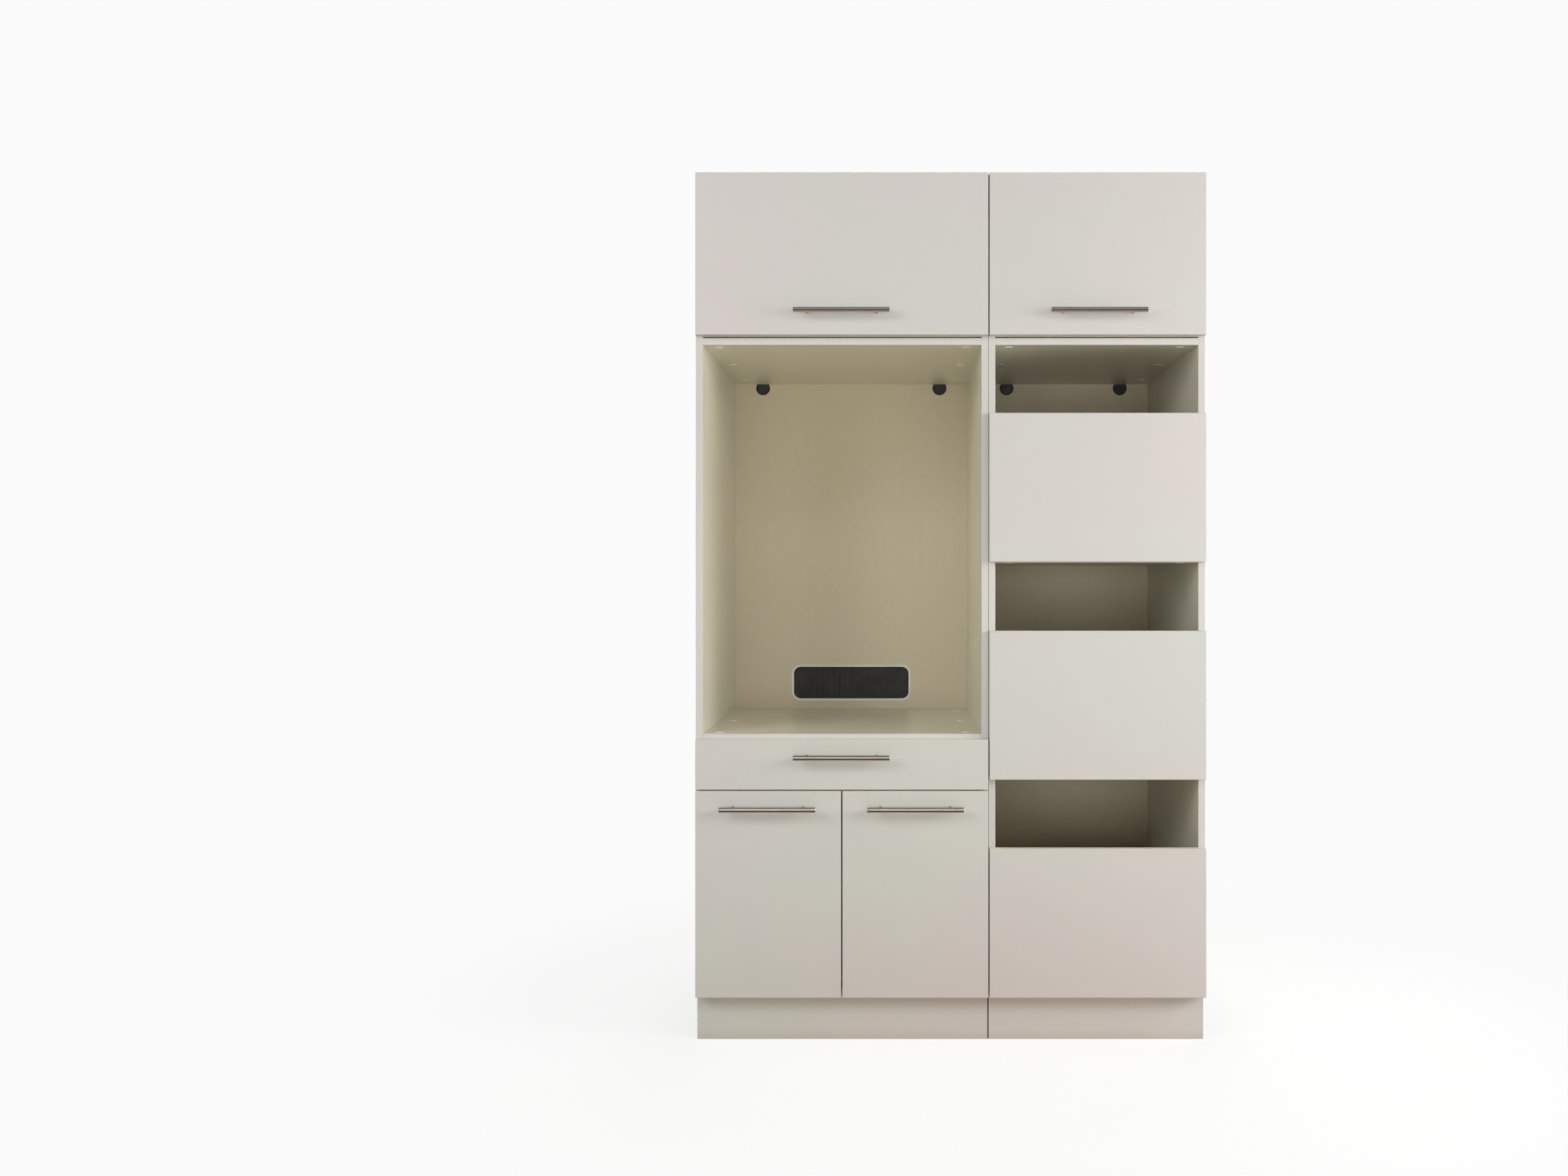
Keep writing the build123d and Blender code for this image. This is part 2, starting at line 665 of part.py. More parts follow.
def gas_stay(x, towards_middle):
    """Tube, rod and the two brackets with their pins. towards_middle is +1 or -1 along X."""
    flap_pin, rear_pin, closed_length = stay_geometry()
    tube_end = closed_length - stay_rod_show
    eye_x = around(0, stay_eye_width)
    bore_x = around(0, stay_eye_width + overrun)
    eye_wall_middle = (stay_eye_radius + stay_pin_radius) / 2
    tube = disc(stay_tube_radius, "z", (0, 0), (stay_eye_radius, tube_end))
    tube += disc(stay_rod_radius, "z", (0, 0), (eye_wall_middle, stay_bore_start))
    tube += disc(stay_eye_radius, "x", (0, 0), eye_x)
    bore_low = disc(stay_tube_bore, "z", (0, 0), (stay_bore_start, tube_end - stay_gland_length))
    bore_gland = disc(stay_rod_radius + running, "z", (0, 0), (stay_bore_start, tube_end + overrun))
    tube = tube - bore_low - bore_gland - disc(stay_pin_radius + running, "x", (0, 0), bore_x)
    rod = disc(stay_rod_radius, "z", (0, 0), (stay_blind, closed_length - eye_wall_middle))
    rod += disc(stay_tube_bore - running, "z", (0, 0), span(stay_blind, stay_piston_length))
    rod += disc(stay_eye_radius, "x", (0, closed_length), eye_x)
    rod -= disc(stay_pin_radius + running, "x", (0, closed_length), bore_x)
    tube = along_stay(tube, x, rear_pin, flap_pin)
    rod = along_stay(rod, x, rear_pin, flap_pin)

    wall_x = x - towards_middle * stay_from_wall
    far_x = x + towards_middle * (stay_eye_width / 2)
    plate_x = sorted((wall_x, wall_x + towards_middle * stay_plate_thick))
    plate_z = around(rear_pin[1], 2 * stay_ear_radius)
    on_wall = slab(plate_x, around(rear_pin[0], stay_plate_size), plate_z)
    on_wall += disc(stay_pin_radius, "x", rear_pin, sorted((wall_x, far_x)))

    ear_low = far_x + towards_middle * stay_ear_gap
    ear_x = sorted((ear_low, ear_low + towards_middle * stay_plate_thick))
    near_x = x - towards_middle * (stay_eye_width / 2)
    on_flap = slab(ear_x, (inside_y, flap_pin[0]), around(flap_pin[1], 2 * stay_ear_radius))
    on_flap += disc(stay_ear_radius, "x", flap_pin, ear_x)
    foot_x = sorted((ear_low, ear_low + towards_middle * stay_plate_size / 2))
    on_flap += slab(foot_x, span(inside_y, stay_plate_thick), around(flap_pin[1], stay_plate_size))
    on_flap += disc(stay_pin_radius, "x", flap_pin, sorted((near_x, ear_low)))
    return tube, rod, on_wall, on_flap


def flap(tower, side):
    outer = case_spans[tower]
    inner = inner_spans[tower]
    name = "flap_" + side
    x_span = (outer[0] + reveal, outer[1] - reveal)
    add(name, front_panel(x_span, (flap_bottom, flap_top)))
    bar_handle(name + "_handle", name, (x_span[0] + x_span[1]) / 2, flap_bottom + handle_from_bottom)
    for x in (inner[0] + flap_hinge_from_wall, inner[1] - flap_hinge_from_wall):
        cup, bore, arm = flap_hinge(x)
        cut(name, bore)
        add(name + "_fittings", cup)
        add("hinge_arms", *arm)
    for wall, towards_middle in ((inner[0], 1), (inner[1], -1)):
        x = wall + towards_middle * stay_from_wall
        tube, rod, on_wall, on_flap = gas_stay(x, towards_middle)
        add("stay_tubes_" + side, tube)
        add("stay_rods_" + side, rod)
        add("stay_brackets", on_wall)
        add(name + "_fittings", on_flap)


def doors():
    outer = case_spans["niche"]
    width = (niche_width - 2 * reveal - front_gap) / 2
    edges = {"left": (outer[0] + reveal, 1), "right": (outer[1] - reveal, -1)}
    for side, (edge_x, inward) in edges.items():
        name = "door_" + side
        x_span = sorted((edge_x, edge_x + inward * width))
        add(name, front_panel(x_span, (door_bottom, door_top)))
        bar_handle(name + "_handle", name, (x_span[0] + x_span[1]) / 2, door_top - handle_from_top)
        for z in (door_bottom + hinge_inset, door_top - hinge_inset):
            cup, bore, link, arm = door_hinge(edge_x, inward, z)
            cut(name, bore)
            add(name + "_cups", cup)
            add(name + "_links", link)
            add("hinge_arms", *arm)


# Drawer, trays and their runners

def runner_pair(inner_span, box_low, slide_name):
    """Fixed rail and moving slide on each side, with a roller at the rail's front and the slide's rear.

    A tab at the slide's front end lies against the drawer front and carries it.
    """
    rail_y = (case_y + runner_setback, back_y - runner_rear_clear)
    slide_y = (inside_y, rail_y[1] - roller_from_end / 2)
    for wall, inward in ((inner_span[0], 1), (inner_span[1], -1)):
        def across(start, end):
            return sorted((wall + inward * start, wall + inward * end))

        web = slab(across(0, runner_sheet), rail_y, span(box_low, runner_height))
        foot_flange = slab(across(0, runner_flange), rail_y, span(box_low, runner_sheet))
        head_z = span(box_low + runner_height - runner_sheet, runner_sheet)
        head_flange = slab(across(0, runner_flange), rail_y, head_z)
        rail = web + foot_flange + head_flange
        roller_x = across(roller_start, roller_start + roller_width)
        front_at = (rail_y[0] + roller_from_end, box_low + front_roller_height)
        front_roller = disc(front_roller_radius, "x", front_at, roller_x)
        front_roller -= disc(roller_axle_radius + running, "x", front_at, across(0, runner_room))
        rail += disc(roller_axle_radius, "x", front_at, across(0, roller_start + roller_width))
        add("runner_rails", rail, front_roller)

        shelf_z = span(box_low + slide_shelf_height, runner_sheet)
        rear_at = (slide_y[1] - rear_roller_radius, box_low + runner_height / 2)
        shelf_end = rear_at[0] - rear_roller_radius - air
        slide_web_x = across(runner_room - runner_sheet, runner_room)
        slide_web = slab(slide_web_x, slide_y, span(box_low, runner_height))
        slide_shelf = slab(across(slide_flange_start, runner_room), (slide_y[0], shelf_end), shelf_z)
        tab_x = across(slide_flange_start, runner_room)
        front_tab = slab(tab_x, span(inside_y, runner_sheet), span(box_low, runner_height))
        slide = slide_web + slide_shelf + front_tab
        slide += disc(roller_axle_radius, "x", rear_at, across(roller_start, runner_room))
        rear_roller = disc(rear_roller_radius, "x", rear_at, roller_x)
        rear_roller -= disc(roller_axle_radius + running, "x", rear_at, across(0, runner_room))
        add(slide_name, slide, rear_roller)


def open_box(inner_span, box_low, height, name):
    """Two sides and a back, with a thin floor held in grooves all round."""
    outer = (inner_span[0] + runner_room, inner_span[1] - runner_room)
    y_span = (inside_y, back_y - box_rear_clear)
    z_span = span(box_low, height)
    grip = box_groove - slip
    floor_z = span(box_low + box_floor_rise, box_floor_thick)
    floor_x = (outer[0] + box_board - grip, outer[1] - box_board + grip)
    floor_y = (inside_y, y_span[1] - box_board + grip)
    groove_z = (floor_z[0], floor_z[1] + slip)
    groove_x = (outer[0] + box_board - box_groove, outer[1] - box_board + box_groove)
    groove = slab(groove_x, (inside_y - overrun, y_span[1] - box_board + box_groove), groove_z)
    for x_start in (outer[0], outer[1] - box_board):
        add(name, slab(span(x_start, box_board), y_span, z_span) - groove)
    back_x = (outer[0] + box_board, outer[1] - box_board)
    add(name, slab(back_x, (y_span[1] - box_board, y_span[1]), z_span) - groove)
    add(name, slab(floor_x, floor_y, floor_z))


def drawer():
    outer = case_spans["niche"]
    x_span = (outer[0] + reveal, outer[1] - reveal)
    add("drawer_front", front_panel(x_span, (drawer_bottom_edge, drawer_top_edge)))
    middle = (x_span[0] + x_span[1]) / 2
    bar_handle("drawer_handle", "drawer_front", middle, drawer_top_edge - handle_from_top)
    box_low = drawer_bottom_edge + box_rise
    open_box(inner_spans["niche"], box_low, drawer_box_height, "drawer_box")
    runner_pair(inner_spans["niche"], box_low, "drawer_slides")


def pullouts():
    outer = case_spans["column"]
    x_span = (outer[0] + reveal, outer[1] - reveal)
    for number in range(pullout_count):
        name = "pullout_" + str(number + 1)
        z_low = base_clear + reveal + number * pullout_pitch
        add(name + "_front", front_panel(x_span, span(z_low, pullout_front_height)))
        box_low = z_low + tray_rise
        open_box(inner_spans["column"], box_low, tray_height, name + "_tray")
        runner_pair(inner_spans["column"], box_low, name + "_slides")


niche_tower()
cupboard_shelf()
column_tower()
upper_unit("niche", "upper_left_case")
upper_unit("column", "upper_right_case")
stand()
joining_fittings()
doors()
drawer()
pullouts()
flap("niche", "left")
flap("column", "right")

for node, solids in pieces.items():
    export_step(Compound(children=solids), "parts/" + node + ".step")
print(len(pieces), "nodes,", sum(len(solids) for solids in pieces.values()), "solids")
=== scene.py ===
# %% [markdown]
# A laundry cabinet: two towers with an upper unit on each. The left tower has a tall open niche over
# a drawer and two doors, and the right one is an open column with three pull-outs.
# The solid parts come from the frame, at their true size. They could be modelled again here, but
# then two descriptions of one object would drift apart, so this script only dresses them: it gives
# each surface its finish, and adds what is too fine for the frame, such as screw heads and buffers.

# %% Load the frame
import json
import math
import random

import bmesh
import bpy
from mathutils import Matrix, Vector


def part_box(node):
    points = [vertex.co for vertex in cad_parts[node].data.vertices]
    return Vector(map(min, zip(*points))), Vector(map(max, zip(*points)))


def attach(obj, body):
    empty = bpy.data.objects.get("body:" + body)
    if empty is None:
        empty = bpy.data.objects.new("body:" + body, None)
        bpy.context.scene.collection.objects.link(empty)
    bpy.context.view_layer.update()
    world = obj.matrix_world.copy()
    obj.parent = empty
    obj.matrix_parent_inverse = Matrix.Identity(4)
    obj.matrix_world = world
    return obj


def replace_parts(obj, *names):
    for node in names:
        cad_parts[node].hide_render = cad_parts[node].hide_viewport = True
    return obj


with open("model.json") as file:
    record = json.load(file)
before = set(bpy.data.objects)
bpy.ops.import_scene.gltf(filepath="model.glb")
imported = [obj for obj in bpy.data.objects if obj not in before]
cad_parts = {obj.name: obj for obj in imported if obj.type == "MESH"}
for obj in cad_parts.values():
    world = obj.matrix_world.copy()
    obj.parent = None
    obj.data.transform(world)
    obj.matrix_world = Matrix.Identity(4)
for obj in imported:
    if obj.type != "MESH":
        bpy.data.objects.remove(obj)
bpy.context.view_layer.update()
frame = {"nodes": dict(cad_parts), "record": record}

MM = 0.001


# %% [markdown]
# Every place in this script is taken from the frame's own parts. A door's box gives its edges, and
# the side panels' boxes give the inner walls. Typed places would also work, until one board changes.
# A small record of a box, with its middle and its size, keeps the later cells short.

# %% Places taken from the frame
class Extent:
    """A node's box: its low and high corners, its middle and its size."""

    def __init__(self, node):
        low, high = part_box(node)
        self.low, self.high = Vector(low), Vector(high)
        self.middle = (self.low + self.high) / 2
        self.size = self.high - self.low


extent = {node: Extent(node) for node in frame["nodes"]}
front_face = extent["door_left"].low.y
front_back = extent["door_left"].high.y
case_front = extent["niche_side_left"].low.y
print("fronts at", round(front_face / MM, 1), "mm; cases at", round(case_front / MM, 1), "mm")


# %% [markdown]
# Colours are written the way a screen shows them, from 0 to 255, because that is how a paint chip
# or a board sample is compared. The shader wants light instead, so one function converts them.
# The alternative is to type linear values, but no eye can check those against the real board.

# %% Colours as the eye reads them
def paint(red, green, blue):
    """Screen values, 0 to 255, as the linear colour that a shader takes."""
    def to_light(value):
        share = value / 255
        return share / 12.92 if share <= 0.04045 else ((share + 0.055) / 1.055) ** 2.4
    return to_light(red), to_light(green), to_light(blue), 1.0


def shaded(colour, factor):
    """The same colour, a little lighter or darker."""
    return tuple(min(1.0, part * factor) for part in colour[:3]) + (1.0,)


FRONT_GREIGE = paint(208, 207, 203)
print("front greige as light:", [round(v, 3) for v in FRONT_GREIGE[:3]])


# %% [markdown]
# All finishes start from the same few steps: a material with one shader, textures that are laid in
# the object's own space, and a bump that turns a pattern into relief. Own space matters here. A
# door that swings open keeps its pattern, while a pattern laid in world space would swim over it.

# %% A bench for making finishes
class Finish:
    """A material with its main shader, and short calls for the nodes that the finishes use."""

    def __init__(self, name, roughness, metallic=0.0):
        self.material = bpy.data.materials.new(name)
        self.material.use_nodes = True
        self.tree = self.material.node_tree
        self.shader = self.tree.nodes["Principled BSDF"]
        self.shader.inputs["Roughness"].default_value = roughness
        self.shader.inputs["Metallic"].default_value = metallic
        self.place = self.node("ShaderNodeTexCoord")
        finishes[name] = self.material

    def node(self, kind, **settings):
        made = self.tree.nodes.new(kind)
        for key, value in settings.items():
            setattr(made, key, value)
        return made

    def join(self, source, target):
        self.tree.links.new(source, target)

    def stretched(self, scale):
        """The object's own coordinates, stretched by a scale for each axis."""
        mapping = self.node("ShaderNodeMapping")
        mapping.inputs["Scale"].default_value = scale
        self.join(self.place.outputs["Object"], mapping.inputs["Vector"])
        return mapping.outputs["Vector"]

    def noise(self, scale, detail=2.0, roughness=0.5, along=(1, 1, 1)):
        texture = self.node("ShaderNodeTexNoise")
        texture.inputs["Scale"].default_value = scale
        texture.inputs["Detail"].default_value = detail
        texture.inputs["Roughness"].default_value = roughness
        self.join(self.stretched(along), texture.inputs["Vector"])
        return texture.outputs["Fac"]

    def between(self, value, low, high, to_low=0.0, to_high=1.0):
        """Spread the stretch from low to high of a value over another range, smoothly."""
        spread = self.node("ShaderNodeMapRange", interpolation_type="SMOOTHSTEP")
        ends = {"From Min": low, "From Max": high, "To Min": to_low, "To Max": to_high}
        for socket, number in ends.items():
            spread.inputs[socket].default_value = number
        self.join(value, spread.inputs["Value"])
        return spread.outputs["Result"]

    def math(self, operation, first, second=None):
        step = self.node("ShaderNodeMath", operation=operation)
        for socket, value in zip(step.inputs, (first, second)):
            if isinstance(value, (int, float)):
                socket.default_value = value
            elif value is not None:
                self.join(value, socket)
        return step.outputs["Value"]

    def mixed(self, share, first, second):
        """Two colours mixed by a share, each one a written colour or another node's output."""
        mix = self.node("ShaderNodeMix", data_type="RGBA")
        self.join(share, mix.inputs["Factor"])
        for socket, colour in ((mix.inputs[6], first), (mix.inputs[7], second)):
            if isinstance(colour, tuple):
                socket.default_value = colour
            else:
                self.join(colour, socket)
        return mix.outputs[2]

    def own(self, which, axis):
        """One axis of the object's own coordinates or of its own normal."""
        split = self.node("ShaderNodeSeparateXYZ")
        self.join(self.place.outputs[which], split.inputs["Vector"])
        return split.outputs[axis]

    def source(self, socket):
        """The output that feeds a socket of the shader so far, to be built upon."""
        return self.shader.inputs[socket].links[0].from_socket

    def colour(self, socket):
        self.join(socket, self.shader.inputs["Base Color"])

    def rough(self, socket):
        self.join(socket, self.shader.inputs["Roughness"])

    def relief(self, height, depth):
        bump = self.node("ShaderNodeBump")
        bump.inputs["Distance"].default_value = depth
        bump.inputs["Strength"].default_value = 1.0
        self.join(height, bump.inputs["Height"])
        self.join(bump.outputs["Normal"], self.shader.inputs["Normal"])


finishes = {}
print("steps on the bench:", ", ".join(step for step in vars(Finish) if step[0] != "_"))


# %% [markdown]
# The fronts and cases are chipboard faced with melamine paper, pressed against a plate with a fine
# pearl texture. It isn't perfectly even: large soft clouds of tone run through it, and the pearl
# scatters the reflection into a satin. An edge band, a touch lighter than the faces, closes each cut
# edge. Separate strips could be modelled for the bands, but they lie flush, so the finish finds
# them itself, from the way the surface faces. The glue line between band and face is a hair's width
# of shadow, found in the same way. On the loose boards, the band is painted paler where it faces
# up: a painted highlight of the light from above.

# %% Melamine board
CASE_GREIGE = paint(224, 221, 204)
EDGE_GREIGE = paint(209, 208, 204)
PAINTED_TOP_EDGE_HIGHLIGHT = paint(246, 238, 220)
BOX_CREAM = paint(219, 214, 201)
CLOUD_SCALE, CLOUD_DETAIL, CLOUD_STRETCH = 1.7, 3.0, (0.35, 0.65)
CLOUD_COOL = (-0.018, 0.020, -0.008, 0.0)
CLOUD_WARM = (0.020, -0.022, 0.000, 0.0)
FLECK_SCALE, FLECK_STRENGTH, FLECK_SHADE = 260.0, 0.05, 0.80
GLUE_STRENGTH, GLUE_SHADE = 0.35, 0.55
PEARL_SCALE, PEARL_DEPTH = 1400.0, 0.03 * MM


def clouds(finish):
    """Large soft clouds, as a share from 0 to 1."""
    return finish.between(finish.noise(CLOUD_SCALE, CLOUD_DETAIL), *CLOUD_STRETCH)


def glue_line(finish, forward):
    """1 where the face has just begun to turn into the edge, 0 before and after."""
    turn = finish.math("ABSOLUTE", forward)
    return finish.math("MULTIPLY", finish.between(turn, 0.86, 0.93), finish.between(turn, 0.985, 0.96))


def melamine(name, face, roughness, banded_edges, cloudy=1.0):
    """banded_edges is "front" where only forward edges are banded, and "all" for a loose board."""
    finish = Finish(name, roughness)
    cool, warm = [tuple(part * (1 + cloudy * shift) for part, shift in zip(face, shifts))
                  for shifts in (CLOUD_COOL, CLOUD_WARM)]
    fleck = finish.between(finish.noise(FLECK_SCALE, 2.0), 0.60, 0.72, 0.0, FLECK_STRENGTH)
    paper = finish.mixed(fleck, finish.mixed(clouds(finish), cool, warm), shaded(face, FLECK_SHADE))
    forward = finish.own("Normal", "Y")
    if banded_edges == "front":
        banded = finish.between(finish.math("MULTIPLY", forward, -1.0), 0.55, 0.85)
        band = EDGE_GREIGE
    else:
        banded = finish.between(finish.math("ABSOLUTE", forward), 0.85, 0.45)
        # Painted highlight: band edges that face up are painted paler, as if lit from above.
        facing_up = finish.between(finish.own("Normal", "Z"), 0.3, 0.8)
        band = finish.mixed(facing_up, EDGE_GREIGE, PAINTED_TOP_EDGE_HIGHLIGHT)
    glue = finish.math("MULTIPLY", glue_line(finish, forward), GLUE_STRENGTH)
    finish.colour(finish.mixed(glue, finish.mixed(banded, paper, band), shaded(face, GLUE_SHADE)))
    uneven = finish.noise(9.0, 2.0)
    finish.rough(finish.between(uneven, 0.3, 0.7, roughness - 0.015, roughness + 0.02))
    finish.relief(finish.noise(PEARL_SCALE, 1.0), PEARL_DEPTH)
    return finish


melamine("front_board", FRONT_GREIGE, 0.42, "all")
case_finish = melamine("case_board", CASE_GREIGE, 0.30, "front", cloudy=0.3)
melamine("box_board", BOX_CREAM, 0.45, "front", cloudy=0.3)
print("melamine finishes:", sorted(finishes))


# %% [markdown]
# Outside, the cases carry the same greige as the fronts. Inside, the paper is a tone creamier. Two
# finishes on one board would need its faces sorted by hand. But the outer sides and the top are
# simply the faces that lie farthest out, so a step at that distance tells them from the rest.

# %% The outside of the cases
OUTER_STEP = (0.6 * MM, 0.2 * MM)
OUTER_DULLER = 0.10
OUTER_CLOUDS = (0.985, 1.015)


def farthest(finish, distance, limit):
    """1 where a distance comes within a hair of its limit, 0 farther in."""
    return finish.between(distance, limit - OUTER_STEP[0], limit - OUTER_STEP[1])


outer_side = extent["column_side_right"].high.x
outer_top = extent["upper_left_case"].high.z
from_middle = case_finish.math("ABSOLUTE", case_finish.own("Object", "X"))
at_side = farthest(case_finish, from_middle, outer_side)
at_top = farthest(case_finish, case_finish.own("Object", "Z"), outer_top)
outermost = case_finish.math("MAXIMUM", at_side, at_top)
outside = case_finish.mixed(clouds(case_finish), *[shaded(FRONT_GREIGE, by) for by in OUTER_CLOUDS])
case_finish.colour(case_finish.mixed(outermost, case_finish.source("Base Color"), outside))
duller = case_finish.math("MULTIPLY", outermost, OUTER_DULLER)
case_finish.rough(case_finish.math("ADD", case_finish.source("Roughness"), duller))
print("outer sides and top, mm:", round(outer_side / MM, 1), round(outer_top / MM, 1))


# %% [markdown]
# The plinth is the same board, but it stands where mops and shoes reach it. A faint grey haze rises
# from the floor, broken up by a noise so that it doesn't end in a line. Painting a dirt map would
# also work, but a height and a noise do it without any picture.

# %% Plinth board with a trace of use
PLINTH_GREIGE = paint(207, 209, 205)
HAZE_GREY, HAZE_STRENGTH = paint(150, 142, 130), 0.16
HAZE_TOP, HAZE_WANDER = 26 * MM, 4 * MM

plinth_finish = melamine("plinth_board", PLINTH_GREIGE, 0.44, "all")
height = plinth_finish.own("Object", "Z")
wander = plinth_finish.between(plinth_finish.noise(5.0, 2.0), 0.3, 0.7, -HAZE_WANDER, HAZE_WANDER)
ragged = plinth_finish.math("ADD", height, wander)
haze = plinth_finish.between(ragged, HAZE_TOP, 0.0, 0.0, HAZE_STRENGTH)
plinth_finish.colour(plinth_finish.mixed(haze, plinth_finish.source("Base Color"), HAZE_GREY))
print("haze on the plinth up to mm:", round(HAZE_TOP / MM))


# %% [markdown]
# The back panels are thin fibreboard with a printed lacquer. It is flatter and duller than
# melamine, and the fibres below show as a very soft mottling, stretched along the sheet. A plain
# colour would do from afar, but under a low light the mottling tells fibreboard from plastic.

# %% Lacquered fibreboard
BACK_CREAM = paint(223, 213, 188)
MOTTLE = (0.99, 1.01)
FIBRE_SCALE, FIBRE_DEPTH = 420.0, 0.05 * MM

back_finish = Finish("back_board", 0.55)
mottle = back_finish.between(back_finish.noise(60.0, 4.0, along=(1.0, 1.0, 0.6)), 0.3, 0.7)
back_finish.colour(back_finish.mixed(mottle, *[shaded(BACK_CREAM, by) for by in MOTTLE]))
back_finish.relief(back_finish.noise(FIBRE_SCALE, 2.0), FIBRE_DEPTH)
print("board finishes:", len(finishes))


# %% [markdown]
# Steel fittings are zinc plated and only softly brushed. The handles are satin stainless steel,
# ground along the bar, so fine scratches run lengthwise. A flat grey metal would look cast. So one
# noise, stretched along the grinding, steers the tone, the gloss and the relief alike.

# %% Ground steel and plated fittings
STREAK_SCALE, STREAK_DEPTH = 900.0, 0.01 * MM
STREAK_SHADES = (0.90, 1.06)


def ground_steel(name, tone, roughness, along=(1.0, 1.0, 1.0), anisotropy=0.0):
    finish = Finish(name, roughness, metallic=1.0)
    streaks = finish.noise(STREAK_SCALE, 3.0, 0.6, along)
    shades = [shaded(tone, by) for by in STREAK_SHADES]
    finish.colour(finish.mixed(finish.between(streaks, 0.3, 0.7), *shades))
    finish.rough(finish.between(streaks, 0.25, 0.75, roughness - 0.03, roughness + 0.05))
    finish.shader.inputs["Anisotropic"].default_value = anisotropy
    finish.relief(streaks, STREAK_DEPTH)
    return finish, streaks


ground_steel("fitting_steel", paint(196, 195, 192), 0.28)
bar_finish, bar_streaks = ground_steel("handle_steel", paint(158, 149, 137), 0.30,
                                       along=(0.02, 1.0, 1.0), anisotropy=0.6)
print("steel finishes:", [name for name in finishes if "steel" in name])


# %% [markdown]
# A handle isn't one tone all round, and here its light and shade are painted into its colour. A pale
# painted highlight runs along its upper side, under a thin darker line at the very top, and its ends
# are painted bright. The front and the lower side carry a brown painted shade, and the underside a
# painted reflection of the warm floor. Lamps alone would give this from one side only, so the finish
# finds these bands by the bar's own normal.

# %% Painted light and shade round the handles
# Painted light and shade by the bar's own normal: a darker top line, a highlight, a brown shade in
# front and below, a floor reflection underneath, bright ends.
BAR_PAINTED_DARK_TOP, BAR_PAINTED_HIGHLIGHT = paint(158, 152, 143), paint(230, 224, 215)
BAR_PAINTED_SHADE, BAR_PAINTED_FLOOR_REFLECTION = paint(78, 65, 56), paint(196, 185, 169)
BAR_SCRATCH, SCRATCH_STRENGTH = paint(112, 104, 95), 0.10

upward = bar_finish.own("Normal", "Z")
endways = bar_finish.math("ABSOLUTE", bar_finish.own("Normal", "X"))
bar_end_highlight = bar_finish.between(endways, 0.5, 0.9, 0.0, 0.8)
above = bar_finish.math("MAXIMUM", bar_finish.between(upward, 0.00, 0.22), bar_end_highlight)
bar_painted_light = bar_finish.mixed(above, BAR_PAINTED_SHADE, BAR_PAINTED_HIGHLIGHT)
bar_painted_light = bar_finish.mixed(bar_finish.between(upward, 0.66, 0.90), bar_painted_light, BAR_PAINTED_DARK_TOP)
bar_painted_light = bar_finish.mixed(bar_finish.between(upward, -0.54, -0.72), bar_painted_light, BAR_PAINTED_FLOOR_REFLECTION)
scratched = bar_finish.between(bar_streaks, 0.35, 0.75, 0.0, SCRATCH_STRENGTH)
bar_finish.colour(bar_finish.mixed(scratched, bar_painted_light, BAR_SCRATCH))
print("tones round a handle: 4")


# %% [markdown]
# Runners and gas stays are enamelled steel, and the caps, feet and vent covers are moulded plastic.
# Enamel has a faint orange peel and a clear gloss on top. Moulded plastic has a fine spark-eroded
# grain. Each could have a node tree of its own, but all are a base colour and a small relief at
# different scales, so one function serves for them.

# %% Enamel and plastics
def smooth_coat(name, tone, roughness, peel_scale, peel_depth, coat=0.0):
    finish = Finish(name, roughness)
    spread = finish.between(finish.noise(24.0, 3.0), 0.3, 0.7)
    finish.colour(finish.mixed(spread, shaded(tone, 0.95), shaded(tone, 1.04)))
    uneven = finish.noise(60.0, 3.0)
    finish.rough(finish.between(uneven, 0.3, 0.7, roughness - 0.05, roughness + 0.06))
    finish.shader.inputs["Coat Weight"].default_value = coat
    finish.relief(finish.noise(peel_scale, 2.0), peel_depth)


smooth_coat("runner_enamel", paint(238, 238, 234), 0.36, 340.0, 0.03 * MM, coat=0.3)
smooth_coat("stay_enamel", paint(92, 93, 95), 0.34, 340.0, 0.03 * MM, coat=0.4)
smooth_coat("black_plastic", paint(21, 21, 22), 0.48, 900.0, 0.05 * MM)
smooth_coat("black_rubber", paint(46, 46, 47), 0.66, 700.0, 0.05 * MM)
smooth_coat("white_plastic", paint(240, 240, 237), 0.38, 900.0, 0.02 * MM)
smooth_coat("cap_plastic", paint(250, 250, 248), 0.24, 900.0, 0.01 * MM, coat=0.4)
smooth_coat("clear_buffer", paint(214, 216, 214), 0.22, 300.0, 0.01 * MM)
print("finishes:", len(finishes))


# %% [markdown]
# Each solid part names its material slot in the frame's record. A finish could be picked for every
# part by hand, but looking up its slot forgets none. Only the small caps over the cam connectors get
# another finish than their slot's, because their plastic is whiter and glossier than the rest.

# %% Dress the solid parts
slot_of = {row["node"]: row["material_slot"] for row in frame["record"]["subparts"]}


def dress(piece, finish_name):
    piece.data.materials.clear()
    piece.data.materials.append(finishes[finish_name])


for node_name, piece in frame["nodes"].items():
    dress(piece, slot_of[node_name])
dress(frame["nodes"]["cam_caps"], "cap_plastic")
print("dressed", len(frame["nodes"]), "parts")


# %% [markdown]
# Many small parts of a cabinet come off a lathe: handles, screw heads, buffers, caps. One helper
# turns a profile into a round mesh and lays it in any direction. Blender's own cylinders would do
# for plain ones, but a profile also gives the broken edges that catch the light.

# %% A lathe
LATHE_SEGMENTS = 48


def bridge(mesh, rings):
    """Join rings of corners, one to the next, and close the first and the last with a face."""
    for lower, upper in zip(rings, rings[1:]):
        for step in range(len(lower)):
            after = (step + 1) % len(lower)
            mesh.faces.new((lower[step], lower[after], upper[after], upper[step]))
    mesh.faces.new(list(reversed(rings[0])))
    mesh.faces.new(rings[-1])


